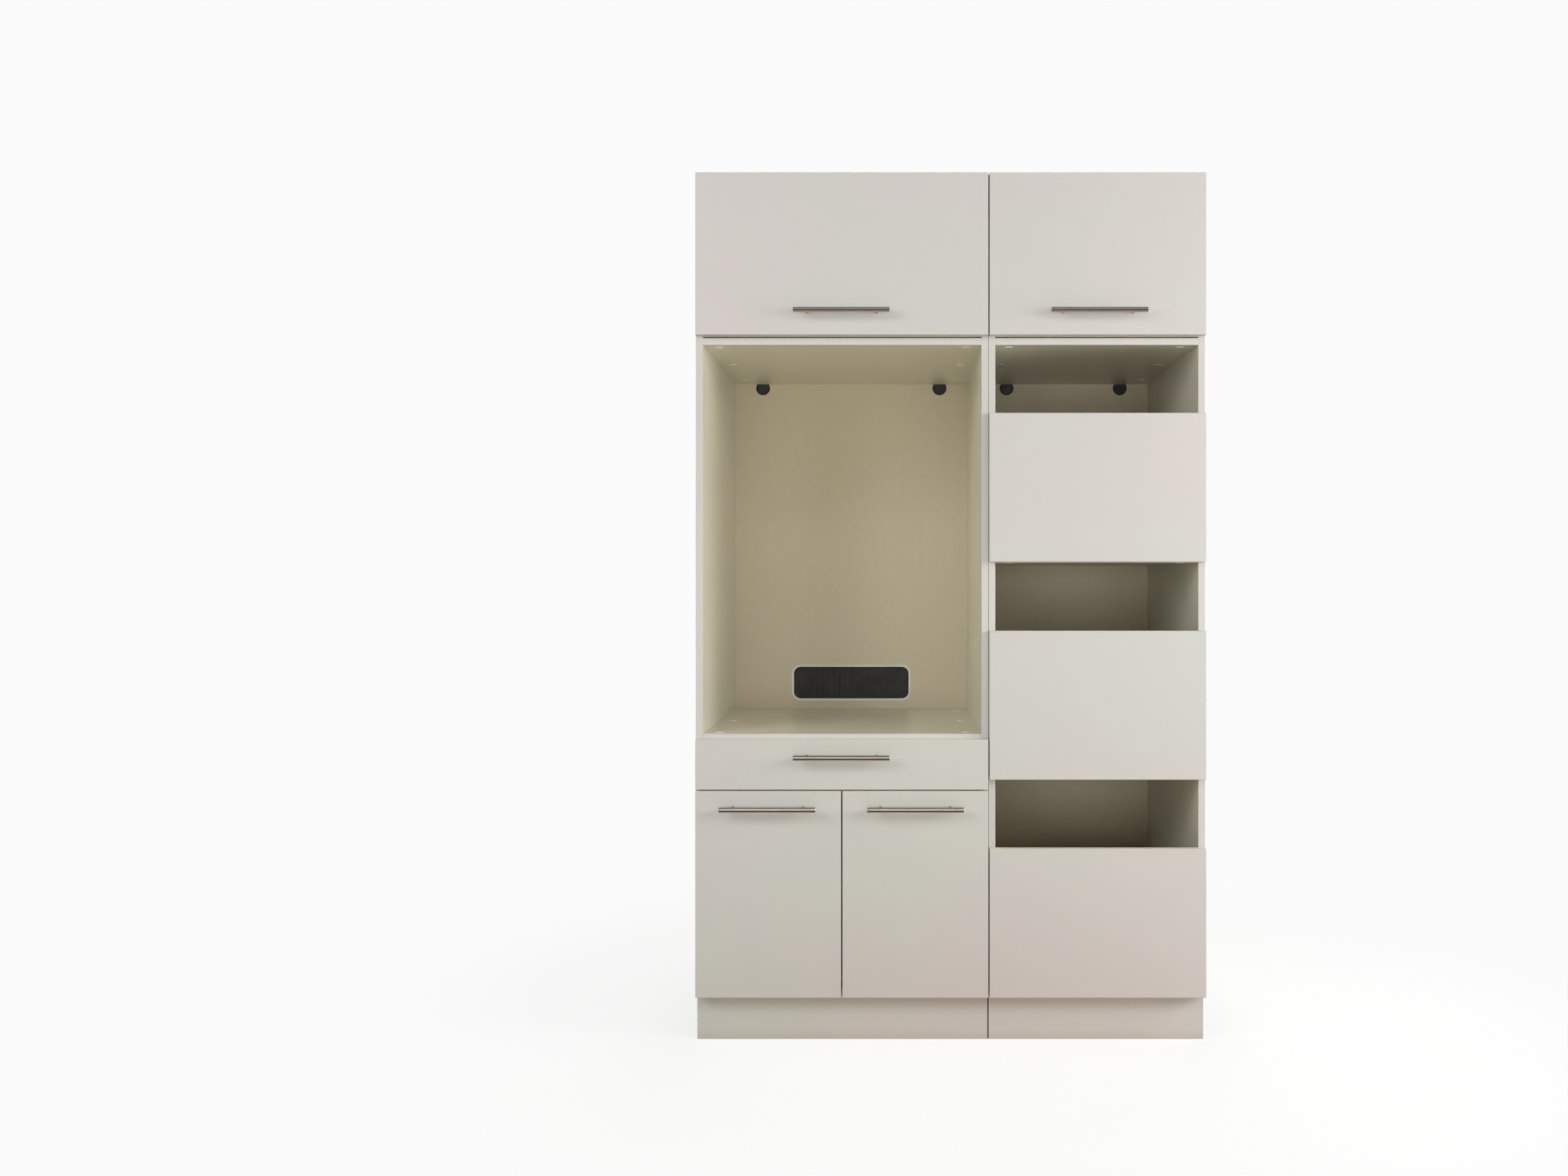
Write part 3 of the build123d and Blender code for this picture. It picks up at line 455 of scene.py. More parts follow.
def spun(mesh, profile, turn, segments=LATHE_SEGMENTS):
    """Add a lathe profile of (along, radius) pairs. turn carries the lathe's +Z into place."""
    rings = []
    for along, radius in profile:
        ring = []
        for step in range(segments):
            angle = 2 * math.pi * step / segments
            point = Vector((radius * math.cos(angle), radius * math.sin(angle), along))
            ring.append(mesh.verts.new(turn @ point))
        rings.append(ring)
    bridge(mesh, rings)
    return rings


def lie(origin, direction):
    """Place a piece made along +Z at an origin, pointing in a direction."""
    turned = Vector(direction).to_track_quat("Z", "Y").to_matrix().to_4x4()
    return Matrix.Translation(origin) @ turned


print("segments in a full turn:", LATHE_SEGMENTS)


# %% [markdown]
# A finished mesh still has to become a piece: an object with a finish, shaded smoothly but sharp at
# its real edges, that moves with the part it is fixed to. It is parented to an empty that stands for
# its body.

# %% From mesh to piece
SHARP_ANGLE = 35
piece_names = []


def shown(name, data):
    """A new object for a mesh, a lamp or a camera, linked into the scene."""
    made = bpy.data.objects.new(name, data)
    bpy.context.scene.collection.objects.link(made)
    return made


def keep(mesh, name, body, finish_name, sharp=SHARP_ANGLE):
    """Turn a bmesh into a piece that rides on a body, dressed in its finish."""
    bmesh.ops.recalc_face_normals(mesh, faces=mesh.faces)
    data = bpy.data.meshes.new(name)
    mesh.to_mesh(data)
    mesh.free()
    piece = shown(name, data)
    data.shade_smooth()
    data.set_sharp_from_angle(angle=math.radians(sharp))
    dress(piece, finish_name)
    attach(piece, body)
    piece_names.append(name)
    return piece


print("edges over", SHARP_ANGLE, "degrees stay sharp")


# %% [markdown]
# A cross-head screw is a low dome with a cross pressed into it. The cross could be cut out with
# solids, which is slow for a hundred screws. Here the dome's inner rings are pushed down along two
# lines instead, and the same vertices make the cross.

# %% Screw heads
SCREW_SEGMENTS = 32
SCREW_DOME = ((0.00, 1.00), (0.45, 1.00), (0.85, 0.78), (1.00, 0.55), (1.00, 0.30), (1.00, 0.10))
CROSS_FROM_RING = 3
CROSS_DEPTH = 0.75


def screw_head(mesh, place, direction, radius, height):
    dome = [(up * height, out * radius) for up, out in SCREW_DOME]
    rings = spun(mesh, dome, lie(place, direction), SCREW_SEGMENTS)
    pressed = Vector(direction) * -CROSS_DEPTH * height
    quarter = SCREW_SEGMENTS // 4
    for ring in rings[CROSS_FROM_RING:]:
        for vertex in ring[::quarter]:
            vertex.co += pressed
    for step, vertex in enumerate(rings[-1]):
        if step % quarter:
            vertex.co += pressed


print("cross pressed to", CROSS_DEPTH, "of a screw head's height")


# %% [markdown]
# A bar handle is turned, bored and ground. Close up, its ends are slightly broken with a bevel,
# and the posts meet the bar in a clean saddle and stand on the front with a small flare. It could
# stay as the frame's solid, but the turned profile gives the grazing highlights a smoother edge. So
# it is spun here, in the same place and size, and stands for the frame's node.

# %% Bar handles
BAR_SEGMENTS, BAR_BEVEL = 64, 0.6 * MM
POST_RADIUS, POST_SPACING, POST_FLARE = 4.5 * MM, 160 * MM, 0.2 * MM
HANDLE_SCREW = (4.5 * MM, 2.5 * MM)
bar_radius = extent["door_left_handle"].size.z / 2


def handle(body):
    node = body + "_handle"
    box = extent[node]
    middle = Vector((box.middle.x, box.low.y + bar_radius, box.middle.z))
    half, face = box.size.x / 2, bar_radius - BAR_BEVEL
    mesh = bmesh.new()
    bar = [(-half, face), (-half + BAR_BEVEL, bar_radius), (half - BAR_BEVEL, bar_radius), (half, face)]
    spun(mesh, bar, lie(middle, (1, 0, 0)), BAR_SEGMENTS)
    for side in (-1, 1):
        foot = middle + Vector((side * POST_SPACING / 2, 0, 0))
        reach = front_face - foot.y
        post = [(0, POST_RADIUS), (reach - 2 * POST_FLARE, POST_RADIUS),
                (reach, POST_RADIUS + POST_FLARE)]
        spun(mesh, post, lie(foot, (0, 1, 0)))
        screw_head(mesh, Vector((foot.x, front_back, foot.z)), (0, 1, 0), *HANDLE_SCREW)
    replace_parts(keep(mesh, node + "_turned", body, "handle_steel"), node)


for body_name in ("flap_left", "flap_right", "drawer", "door_left", "door_right"):
    handle(body_name)
print("handles:", len(piece_names), "with a bar", round(2 * bar_radius / MM, 1), "mm thick")


# %% [markdown]
# Fittings are screwed on: hinge plates and cups, stay brackets, runners, wall angles and plinth
# clips. The frame has the fittings, and their screws are too small to matter there, but an open
# door shows them. One object for each screw would crowd the scene. So the screws are first listed
# by the body that they move with, and each list becomes one mesh. Most places are measured from an
# inner wall, which is noted with its inward direction along X.

# %% A list for the screws
FITTING_SCREW = (3.4 * MM, 0.9 * MM)
FLAT_SCREW = (3.0 * MM, 0.5 * MM)
screws = {}
inner_walls = {tower: ((extent[tower + "_side_left"].high.x, 1),
                       (extent[tower + "_side_right"].low.x, -1)) for tower in ("niche", "column")}


def screw(body, place, direction, size=FITTING_SCREW):
    screws.setdefault(body, []).append((Vector(place), direction, size))


for tower, walls in inner_walls.items():
    print(tower, "inner walls at mm:", [round(wall / MM, 1) for wall, inward in walls])


# %% [markdown]
# A concealed hinge is held by two screws in its plate, on the case, and two beside its cup, in the
# door. They could be placed by eye, but each kind of hinge has one fixed pattern of holes. So they
# are measured by that pattern, from the door's edge and the case's front.

# %% Hinge screws
HINGE_INSET = 80 * MM
PLATE_BEHIND_FRONT, PLATE_THICK, PLATE_PITCH = 53 * MM, 2 * MM, 28 * MM
CUP_ACROSS, CUP_PITCH, CUP_LIP = 22.5 * MM, 42 * MM, 1 * MM
FLAP_HINGE_FROM_WALL = 110 * MM
plate_middle = case_front + PLATE_BEHIND_FRONT
for door, (wall, inward) in zip(("door_left", "door_right"), inner_walls["niche"]):
    box = extent[door]
    edge = box.low.x if inward > 0 else box.high.x
    for z in (box.low.z + HINGE_INSET, box.high.z - HINGE_INSET):
        for side in (-1, 1):
            on_plate = (wall + inward * PLATE_THICK, plate_middle, z + side * PLATE_PITCH / 2)
            screw("carcass", on_plate, (inward, 0, 0))
            beside_cup = (edge + inward * CUP_ACROSS, front_back + CUP_LIP, z + side * CUP_PITCH / 2)
            screw(door, beside_cup, (0, 1, 0))

board_thick = extent["niche_base_board"].size.z
top_underside = {"niche": extent["upper_left_case"].high.z - board_thick,
                 "column": extent["upper_right_case"].high.z - board_thick}
for tower, walls in inner_walls.items():
    for wall, inward in walls:
        hinge_x = wall + inward * FLAP_HINGE_FROM_WALL
        under_plate = top_underside[tower] - PLATE_THICK
        for side in (-1, 1):
            screw("carcass", (hinge_x + side * PLATE_PITCH / 2, plate_middle, under_plate), (0, 0, -1))
print("hinge screws:", {body: len(places) for body, places in screws.items()})


# %% [markdown]
# Each gas stay has a plate on the side panel and a foot on the flap, with two screws in each. The
# upper units hang on steel angles, and one screw holds each angle under the top board. The screws
# in the foot go on the flap's own list, or they would stay behind in the air when it opens.

# %% Stay and wall angle screws
STAY_PLATE_PITCH, STAY_FOOT_PITCH = 26 * MM, 25 * MM
STAY_FOOT_FROM_WALL, STAY_FOOT_UP = 31.5 * MM, 7 * MM
ANGLE_FROM_WALL, ANGLE_SCREW_FROM_BACK, ANGLE_THICK = 120 * MM, 28 * MM, 3 * MM
rear_pin = extent["stay_brackets"].middle
front_pin_z = extent["stay_rods_left"].low.z + STAY_FOOT_UP
angle_screw_y = extent["niche_back_panel"].low.y - ANGLE_SCREW_FROM_BACK
for tower, flap_body in (("niche", "flap_left"), ("column", "flap_right")):
    for wall, inward in inner_walls[tower]:
        for side in (-1, 1):
            along = rear_pin.y + side * STAY_PLATE_PITCH / 2
            screw("carcass", (wall + inward * PLATE_THICK, along, rear_pin.z), (inward, 0, 0))
            up = front_pin_z + side * STAY_FOOT_PITCH / 2
            on_foot = (wall + inward * STAY_FOOT_FROM_WALL, front_back + PLATE_THICK, up)
            screw(flap_body, on_foot, (0, 1, 0))
        under_angle = top_underside[tower] - ANGLE_THICK
        screw("carcass", (wall + inward * ANGLE_FROM_WALL, angle_screw_y, under_angle), (0, 0, -1))
print("with the stays' screws:", {body: len(places) for body, places in screws.items()})


# %% [markdown]
# A runner's rail is fixed to the side panel with three flat screws, because a drawer has to pass
# their heads, and a tab at its front end holds the front. Those on the tabs ride with the drawer
# and the pull-outs. The plinth clips are screwed to the feet's sockets from behind.

# %% Runner and clip screws
RAIL_THICK, RAIL_SHARES = 1.2 * MM, (0.08, 0.45, 0.88)
TAB_FROM_WALL, TAB_DOWN = 7.75 * MM, 5 * MM
CLIP_BEHIND_PLINTH, CLIP_HALF, CLIP_HEIGHT = 3 * MM, 16 * MM, 54 * MM
FOOT_INSET = 62 * MM
for tower, body_name in (("niche", "drawer"), ("column", "pullout_1"),
                         ("column", "pullout_2"), ("column", "pullout_3")):
    box = extent[body_name + "_slides"]
    for wall, inward in inner_walls[tower]:
        for share in RAIL_SHARES:
            on_rail = (wall + inward * RAIL_THICK, box.low.y + share * box.size.y, box.middle.z)
            screw("carcass", on_rail, (inward, 0, 0), FLAT_SCREW)
        on_tab = (wall + inward * TAB_FROM_WALL, box.low.y + RAIL_THICK, box.high.z - TAB_DOWN)
        screw(body_name, on_tab, (0, 1, 0), FLAT_SCREW)

clip_rear = extent["plinth_boards"].high.y + CLIP_BEHIND_PLINTH
feet_x = [x for tower in ("niche", "column")
          for x in (extent[tower + "_side_left"].low.x + FOOT_INSET,
                    extent[tower + "_side_right"].high.x - FOOT_INSET)]
for foot_x in feet_x:
    for side in (-1, 1):
        screw("carcass", (foot_x + side * CLIP_HALF, clip_rear, CLIP_HEIGHT), (0, 1, 0))

for body_name, places in screws.items():
    mesh = bmesh.new()
    for place, direction, size in places:
        screw_head(mesh, place, direction, *size)
    keep(mesh, body_name + "_screws", body_name, "fitting_steel")
print("all screws:", {body: len(places) for body, places in screws.items()})


# %% [markdown]
# Small soft buffers keep a front from slapping against its case. They are clear domes of soft
# plastic, stuck to the inside of each front where it meets the edge of a board. Modelled as parts
# of the frame they would touch both boards, so they are added here, and fill most of the half
# millimetre that the frame leaves open there.

# %% Buffers behind the fronts
BUFFER_RADIUS, BUFFER_HEIGHT, BUFFER_SEGMENTS = 3.0 * MM, 0.42 * MM, 24
BUFFER_DOME = ((0.0, 1.0), (0.6, 0.9), (1.0, 0.55))
BUFFER_FROM_EDGE, BUFFER_FROM_CORNER, BUFFER_RAISE = 25 * MM, 14 * MM, 0.7 * MM


def buffers(node, body, places):
    mesh = bmesh.new()
    dome = [(up * BUFFER_HEIGHT, out * BUFFER_RADIUS) for up, out in BUFFER_DOME]
    for x, z in places:
        spun(mesh, dome, lie(Vector((x, front_back, z)), (0, 1, 0)), BUFFER_SEGMENTS)
    keep(mesh, node + "_buffers", body, "clear_buffer")


over_base = extent["niche_base_board"].middle.z + BUFFER_RAISE
over_rail = extent["front_cross_rail"].low.z + BUFFER_RADIUS
for door, free_edge in (("door_left", extent["door_left"].high.x - BUFFER_FROM_EDGE),
                        ("door_right", extent["door_right"].low.x + BUFFER_FROM_EDGE)):
    buffers(door, door, [(free_edge, over_base), (free_edge, over_rail)])
for tower, node_name in (("niche", "drawer_front"), ("niche", "flap_left"), ("column", "flap_right"),
                         ("column", "pullout_1_front"), ("column", "pullout_2_front"),
                         ("column", "pullout_3_front")):
    box, body_name = extent[node_name], node_name.removesuffix("_front")
    across = [wall - inward * board_thick / 2 for wall, inward in inner_walls[tower]]
    heights = (box.low.z + BUFFER_FROM_CORNER, box.high.z - BUFFER_FROM_CORNER)
    buffers(node_name, body_name, [(x, z) for x in across for z in heights])
print("buffered fronts:", len([name for name in piece_names if name.endswith("_buffers")]))


# %% [markdown]
# Hoses and a cable leave the niche through a slot in its back panel. The cut edge of a fibreboard
# is rough, so a plastic edging with a U-shaped section is pressed onto it. Blender could bevel a
# curve into that shape, but its section would have to be a second curve. Here the section is swept
# round a rectangle with round corners: one ring of points for each point of the section.

# %% Edging of the hose passage
PASSAGE_SIZE, PASSAGE_CORNER, PASSAGE_LIFT = (320 * MM, 90 * MM), 20 * MM, 25 * MM
EDGING_LIP, EDGING_WALL, EDGING_LAP, EDGING_BREAK = 1.2 * MM, 1.2 * MM, 5.0 * MM, 0.4 * MM
CORNER_STEPS = 10
niche_floor = extent["niche_floor_board"].high.z
passage_middle = Vector((extent["niche_back_panel"].middle.x, 0,
                         niche_floor + PASSAGE_LIFT + PASSAGE_SIZE[1] / 2))
panel_front, panel_rear = extent["niche_back_panel"].low.y, extent["niche_back_panel"].high.y


def passage_outline(out):
    """Points round the passage in the XZ plane, moved outwards by a distance."""
    corner = PASSAGE_CORNER + out
    points = []
    for quarter, (side_x, side_z) in enumerate(((1, 1), (-1, 1), (-1, -1), (1, -1))):
        centre_x = passage_middle.x + side_x * (PASSAGE_SIZE[0] / 2 + out - corner)
        centre_z = passage_middle.z + side_z * (PASSAGE_SIZE[1] / 2 + out - corner)
        for step in range(CORNER_STEPS + 1):
            angle = math.pi / 2 * (quarter + step / CORNER_STEPS)
            points.append((centre_x + corner * math.cos(angle), centre_z + corner * math.sin(angle)))
    return points


lap_end, round_off = EDGING_LAP - EDGING_BREAK, 0.3 * EDGING_LIP
lip_front, lip_rear = panel_front - EDGING_LIP, panel_rear + EDGING_LIP
section = [(EDGING_LAP, panel_front), (lap_end, lip_front), (0.0, lip_front),
           (-EDGING_WALL, panel_front - round_off), (-EDGING_WALL, panel_rear + round_off),
           (0.0, lip_rear), (lap_end, lip_rear), (EDGING_LAP, panel_rear),
           (0.0, panel_rear), (0.0, panel_front)]
edging = bmesh.new()
edging_rings = [[edging.verts.new((x, y, z)) for x, z in passage_outline(out)] for out, y in section]
for ring, after in zip(edging_rings, edging_rings[1:] + edging_rings[:1]):
    for step in range(len(ring)):
        follow = (step + 1) % len(ring)
        edging.faces.new((ring[step], ring[follow], after[follow], after[step]))
keep(edging, "hose_passage_edging", "carcass", "white_plastic")
print("passage, mm:", [round(side / MM) for side in PASSAGE_SIZE])


# %% [markdown]
# Warm, damp air shouldn't blow into the wall behind, so lips of black rubber close the slot and
# meet in the middle. They are slit into fingers, which bend aside round a hose and close behind it.
# One thin sheet would look the same from afar, but the slits and the narrowed tips show that the
# slot can still be used. Near the slot's round corners, each finger's root follows the rounding.

# %% One rubber finger
FINGER_PITCH, FINGER_SLIT, FINGER_THICK, FINGER_CLEAR = 16 * MM, 0.9 * MM, 1.4 * MM, 0.4 * MM
FINGER_ROWS, FINGER_COLUMNS, FINGER_TIP = 8, 8, 0.85
LAYER_FROM_REAR, LAYER_LAP = (4.2 * MM, 2.2 * MM), 1 * MM


def root_of(x):
    """How far the edging's inner line lies from the slot's middle height, at a place along it."""
    straight = PASSAGE_SIZE[0] / 2 - PASSAGE_CORNER
    past = min(max(0.0, abs(x - passage_middle.x) - straight), PASSAGE_CORNER)
    rounding = PASSAGE_CORNER - math.sqrt(PASSAGE_CORNER ** 2 - past ** 2)
    return PASSAGE_SIZE[1] / 2 - FINGER_CLEAR - rounding


def finger(mesh, x, upwards, layer, bend):
    """One finger, from the edging to the slot's middle. upwards is +1 for the lower row."""
    half = (FINGER_PITCH - FINGER_SLIT) / 2
    sides = [2 * column / FINGER_COLUMNS - 1 for column in range(FINGER_COLUMNS + 1)]
    outline = [(side, 0.0) for side in sides] + [(side, FINGER_THICK) for side in reversed(sides)]
    rings = []
    for row in range(FINGER_ROWS + 1):
        share = row / FINGER_ROWS
        narrow = half * (1.0 if row < FINGER_ROWS else FINGER_TIP)
        y = panel_rear - LAYER_FROM_REAR[layer] + bend * share ** 3
        ring = []
        for side, depth in outline:
            reach = root_of(x + side * half)
            z = passage_middle.z - upwards * (reach - (reach + layer * LAYER_LAP) * share)
            ring.append(mesh.verts.new((x + side * narrow, y + depth, z)))
        rings.append(ring)
    bridge(mesh, rings)


print("finger, mm wide:", round((FINGER_PITCH - FINGER_SLIT) / MM, 1))


# %% [markdown]
# The fingers lie in two layers, staggered by half a finger, so that no slit goes right through. An
# array modifier could repeat one finger, but then all would stand alike. Drawn one by one, each
# bends by a little of its own, and a steady seed gives the same fingers each time.

# %% Two layers of fingers
FINGER_SEED, FINGER_BEND, FINGER_SHARP = 7, 0.3 * MM, 50
steady = random.Random(FINGER_SEED)
seal = bmesh.new()
fingers = 0
for layer in (0, 1):
    count = int(PASSAGE_SIZE[0] / FINGER_PITCH) - layer
    first = passage_middle.x - FINGER_PITCH * (count - 1) / 2
    for number in range(count):
        for upwards in (1, -1):
            bend = steady.uniform(0.0, FINGER_BEND)
            finger(seal, first + number * FINGER_PITCH, upwards, layer, bend)
            fingers += 1
keep(seal, "hose_passage_seal", "carcass", "black_rubber", sharp=FINGER_SHARP)
print("rubber fingers:", fingers)


# %% [markdown]
# Each vent hole is closed by a black cap, pressed in from behind. Its face is a shallow dish inside
# a rounded rim, flush with the panel. Half of the upper rim hides behind the ceiling board, so the
# cap may not stand proud. A flat disc would look like a hole here. The dish that catches the light
# is one lathe profile, from the rear flange to the face's middle.

# %% Vent caps
VENT_FROM_WALL, VENT_SEGMENTS = 77 * MM, 56
FLANGE_REACH, FLANGE_THICK, FLANGE_BREAK = 4 * MM, 2 * MM, 0.6 * MM
PLUG_PLAY, RIM_WIDTH = 0.1 * MM, 2.2 * MM
caps_box = extent["vent_caps"]
cap_radius = caps_box.size.z / 2
plug = cap_radius - FLANGE_REACH - PLUG_PLAY
dish = plug - RIM_WIDTH
face = FLANGE_THICK + extent["niche_back_panel"].size.y
cap_profile = [
    (0, cap_radius - FLANGE_BREAK), (FLANGE_BREAK, cap_radius), (FLANGE_THICK, cap_radius),
    (FLANGE_THICK, plug), (face - 0.8 * MM, plug), (face - 0.25 * MM, plug - 0.25 * MM),
    (face, plug - 0.9 * MM), (face, dish + 0.5 * MM), (face - 0.4 * MM, dish),
    (face - 2.0 * MM, dish - 0.5 * MM), (face - 2.2 * MM, dish - 2.5 * MM),
    (face - 1.5 * MM, 3 * MM), (face - 1.4 * MM, 0.8 * MM)]
vent_caps = bmesh.new()
for walls in inner_walls.values():
    for wall, inward in walls:
        rear = Vector((wall + inward * VENT_FROM_WALL, caps_box.high.y, caps_box.middle.z))
        spun(vent_caps, cap_profile, lie(rear, (0, -1, 0)), VENT_SEGMENTS)
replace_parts(keep(vent_caps, "vent_caps_dished", "carcass", "black_plastic"), "vent_caps")
print("vent caps: 4, mm across", round(2 * plug / MM, 1))


# %% [markdown]
# The cabinet is levelled by turning its feet. Their stems carry a coarse moulded thread, which
# shows between the pad and the socket. Blender's screw modifier could wind one, but its ends would
# stay open. A true thread is a helix: the radius rises and falls along the stem, and the wave moves
# up by one pitch for each turn.

# %% Threads of the levelling feet
THREAD_ROOT, THREAD_CREST, THREAD_PITCH = 12.05 * MM, 13.1 * MM, 4 * MM
THREAD_LOW, THREAD_HIGH, THREAD_ROWS = 10 * MM, 46 * MM, 44
THREAD_SEGMENTS, THREAD_SHARP = 28, 80
PAD_RADIUS = 32 * MM


def thread(mesh, x, y):
    rings = []
    for row in range(THREAD_ROWS + 1):
        z = THREAD_LOW + (THREAD_HIGH - THREAD_LOW) * row / THREAD_ROWS
        ring = []
        for step in range(THREAD_SEGMENTS):
            turn = step / THREAD_SEGMENTS
            wave = 1 - abs(2 * ((z / THREAD_PITCH - turn) % 1.0) - 1)
            radius = THREAD_ROOT + (THREAD_CREST - THREAD_ROOT) * wave
            angle = 2 * math.pi * turn
            ring.append(mesh.verts.new((x + radius * math.cos(angle), y + radius * math.sin(angle), z)))
        rings.append(ring)
    bridge(mesh, rings)


feet = extent["levelling_feet"]
threads = bmesh.new()
for foot_x in feet_x:
    for foot_y in (feet.low.y + PAD_RADIUS, feet.high.y - PAD_RADIUS):
        thread(threads, foot_x, foot_y)
keep(threads, "feet_threads", "carcass", "black_plastic", sharp=THREAD_SHARP)
print("threaded feet:", 2 * len(feet_x))


# %% [markdown]
# The plinth boards of the two towers meet with a small gap, because each tower is levelled on its
# own. A strip of black plastic closes it from behind: a flange lies against both boards, and a
# narrow web stands in the gap, a little short of the front. The boards could also be drawn tight
# together, but then there would be no dark line between the towers. The strip's black also stands
# in for the shade under the cabinet, which the white floor doesn't give there: a painted shade. The
# strip is an outline seen from above, drawn out upwards.

# %% Joint strip in the plinth
STRIP_REACH, STRIP_THICK, STRIP_BREAK = 9 * MM, 1.6 * MM, 0.5 * MM
WEB_HALF, WEB_DEEP, WEB_BREAK = 1.1 * MM, 13.5 * MM, 0.3 * MM
STRIP_FOOT, STRIP_SHORT, STRIP_PLAY = 0.2 * MM, 2 * MM, 0.05 * MM
tower_seam = extent["niche_side_right"].high.x


def drawn_up(name, half_outline, low, high, finish_name):
    """Half an outline of (across, y) pairs, mirrored at the seam and drawn out from low to high."""
    outline = half_outline + [(-x, y) for x, y in reversed(half_outline)]
    mesh = bmesh.new()
    bridge(mesh, [[mesh.verts.new((tower_seam + x, y, z)) for x, y in outline] for z in (low, high)])
    keep(mesh, name, "carcass", finish_name)
    print(name, "mm high:", round((high - low) / MM, 1))


boards = extent["plinth_boards"]
behind = boards.high.y + STRIP_PLAY
web_front = behind - WEB_DEEP
# Painted shade: the black strip behind the gap stands in for the dark under the cabinet.
drawn_up("plinth_joint_and_shade_strip",
         [(WEB_HALF - WEB_BREAK, web_front), (WEB_HALF, web_front + WEB_BREAK), (WEB_HALF, behind),
          (STRIP_REACH - STRIP_BREAK, behind), (STRIP_REACH, behind + STRIP_BREAK),
          (STRIP_REACH, behind + STRIP_THICK)],
         boards.low.z + STRIP_FOOT, boards.high.z - STRIP_SHORT, "black_plastic")


# %% [markdown]
# Above the plinth, the side panels of the two towers touch. A thin dark bead of black rubber fills
# the groove between their rounded edges: a painted shadow of the gap between the towers. The groove
# alone would also show as a line, but a paler one, because light reaches the bottom of so shallow a
# groove.

# %% A painted shadow between the towers
# Painted shade: a dark strip in the groove stands in for the shadow between the towers.
SEAM_SHADE_HALF, SEAM_SHADE_BEHIND = 0.75 * MM, 0.10 * MM
seam_shade_face = case_front + SEAM_SHADE_BEHIND
drawn_up("tower_seam_shade_strip",
         [(0.4 * SEAM_SHADE_HALF, seam_shade_face), (0.8 * SEAM_SHADE_HALF, seam_shade_face + 0.1 * MM),
          (SEAM_SHADE_HALF, seam_shade_face + 0.3 * MM), (SEAM_SHADE_HALF, seam_shade_face + 0.9 * MM)],
         extent["niche_side_right"].low.z + STRIP_SHORT, outer_top - STRIP_SHORT, "black_rubber")


# %% [markdown]
# The floor and the backdrop aren't part of the cabinet. The background of a catalogue picture is
# plain white, and more light would only bleach the boards. So the floor and the world show a white
# of their own to the camera, while the light that bounces up to the cabinet is that of a warm
# wooden floor. Blender knows for each ray whether it comes from the camera, so both can be had.

# %% Who looks at the floor
BACKDROP_WHITE = paint(251, 251, 251)
DIRECT_RAYS = ("Is Glossy Ray", "Is Transmission Ray")


def seen_directly(tree):
    """1 for rays from the camera, mirrors and glass, 0 for the light that bounces about."""
    path = tree.nodes.new("ShaderNodeLightPath")
    total = path.outputs["Is Camera Ray"]
    for name in DIRECT_RAYS:
        step = tree.nodes.new("ShaderNodeMath")
        step.operation = "MAXIMUM"
        tree.links.new(total, step.inputs[0])
        tree.links.new(path.outputs[name], step.inputs[1])
        total = step.outputs[0]
    return total


print("seen as white by: Is Camera Ray,", ", ".join(DIRECT_RAYS))


# %% [markdown]
# The floor's finish mixes two floors by that share. The floor that is seen adds a plain white glow
# to a dull surface that can take the shadow, and turns into pure white farther out, before its edge
# could show. The floor that only reflects is brown near the cabinet and paler away from it.

# %% What the floor shows, and what it reflects
FLOOR_BOUNCE_NEAR, FLOOR_BOUNCE_FAR = (0.58, 0.36, 0.19, 1), (0.68, 0.61, 0.52, 1)
BOUNCE_FROM, BOUNCE_TO = 0.45, 1.10
FLOOR_SEEN, FLOOR_LIFT = (0.22, 0.22, 0.22, 1), 0.80
FADE_FROM, FADE_TO = 0.75, 1.7


def floor_finish():
    material = bpy.data.materials.new("studio_floor")
    material.use_nodes = True
    tree = material.node_tree
    tree.nodes.clear()

    def shader(kind, colour, strength=None):
        made = tree.nodes.new(kind)
        made.inputs["Color"].default_value = colour
        if strength is not None:
            made.inputs["Strength"].default_value = strength
        return made.outputs[0]

    def joined(kind, *sources):
        made = tree.nodes.new(kind)
        for socket, source in zip(made.inputs, sources):
            tree.links.new(source, socket)
        return made.outputs[0]

    place = tree.nodes.new("ShaderNodeTexCoord")
    distance = tree.nodes.new("ShaderNodeVectorMath")
    distance.operation = "LENGTH"
    tree.links.new(place.outputs["Object"], distance.inputs[0])

    def outward(start, end):
        """From 0 to 1 between two distances from the cabinet's middle."""
        fade = tree.nodes.new("ShaderNodeMapRange")
        fade.interpolation_type = "SMOOTHSTEP"
        fade.inputs["From Min"].default_value = start
        fade.inputs["From Max"].default_value = end
        tree.links.new(distance.outputs["Value"], fade.inputs["Value"])
        return fade.outputs["Result"]

    near = shader("ShaderNodeBsdfDiffuse", FLOOR_BOUNCE_NEAR)
    far = shader("ShaderNodeBsdfDiffuse", FLOOR_BOUNCE_FAR)
    bounced = joined("ShaderNodeMixShader", outward(BOUNCE_FROM, BOUNCE_TO), near, far)
    shadowed = joined("ShaderNodeAddShader", shader("ShaderNodeBsdfDiffuse", FLOOR_SEEN),
                      shader("ShaderNodeEmission", (1, 1, 1, 1), FLOOR_LIFT))
    white = shader("ShaderNodeEmission", BACKDROP_WHITE, 1.0)
    seen = joined("ShaderNodeMixShader", outward(FADE_FROM, FADE_TO), shadowed, white)
    output = tree.nodes.new("ShaderNodeOutputMaterial")
    surface = joined("ShaderNodeMixShader", seen_directly(tree), bounced, seen)
    tree.links.new(surface, output.inputs["Surface"])
    return material


floor_material = floor_finish()
print("the floor's shadow fades out from", FADE_FROM, "to", FADE_TO, "m")


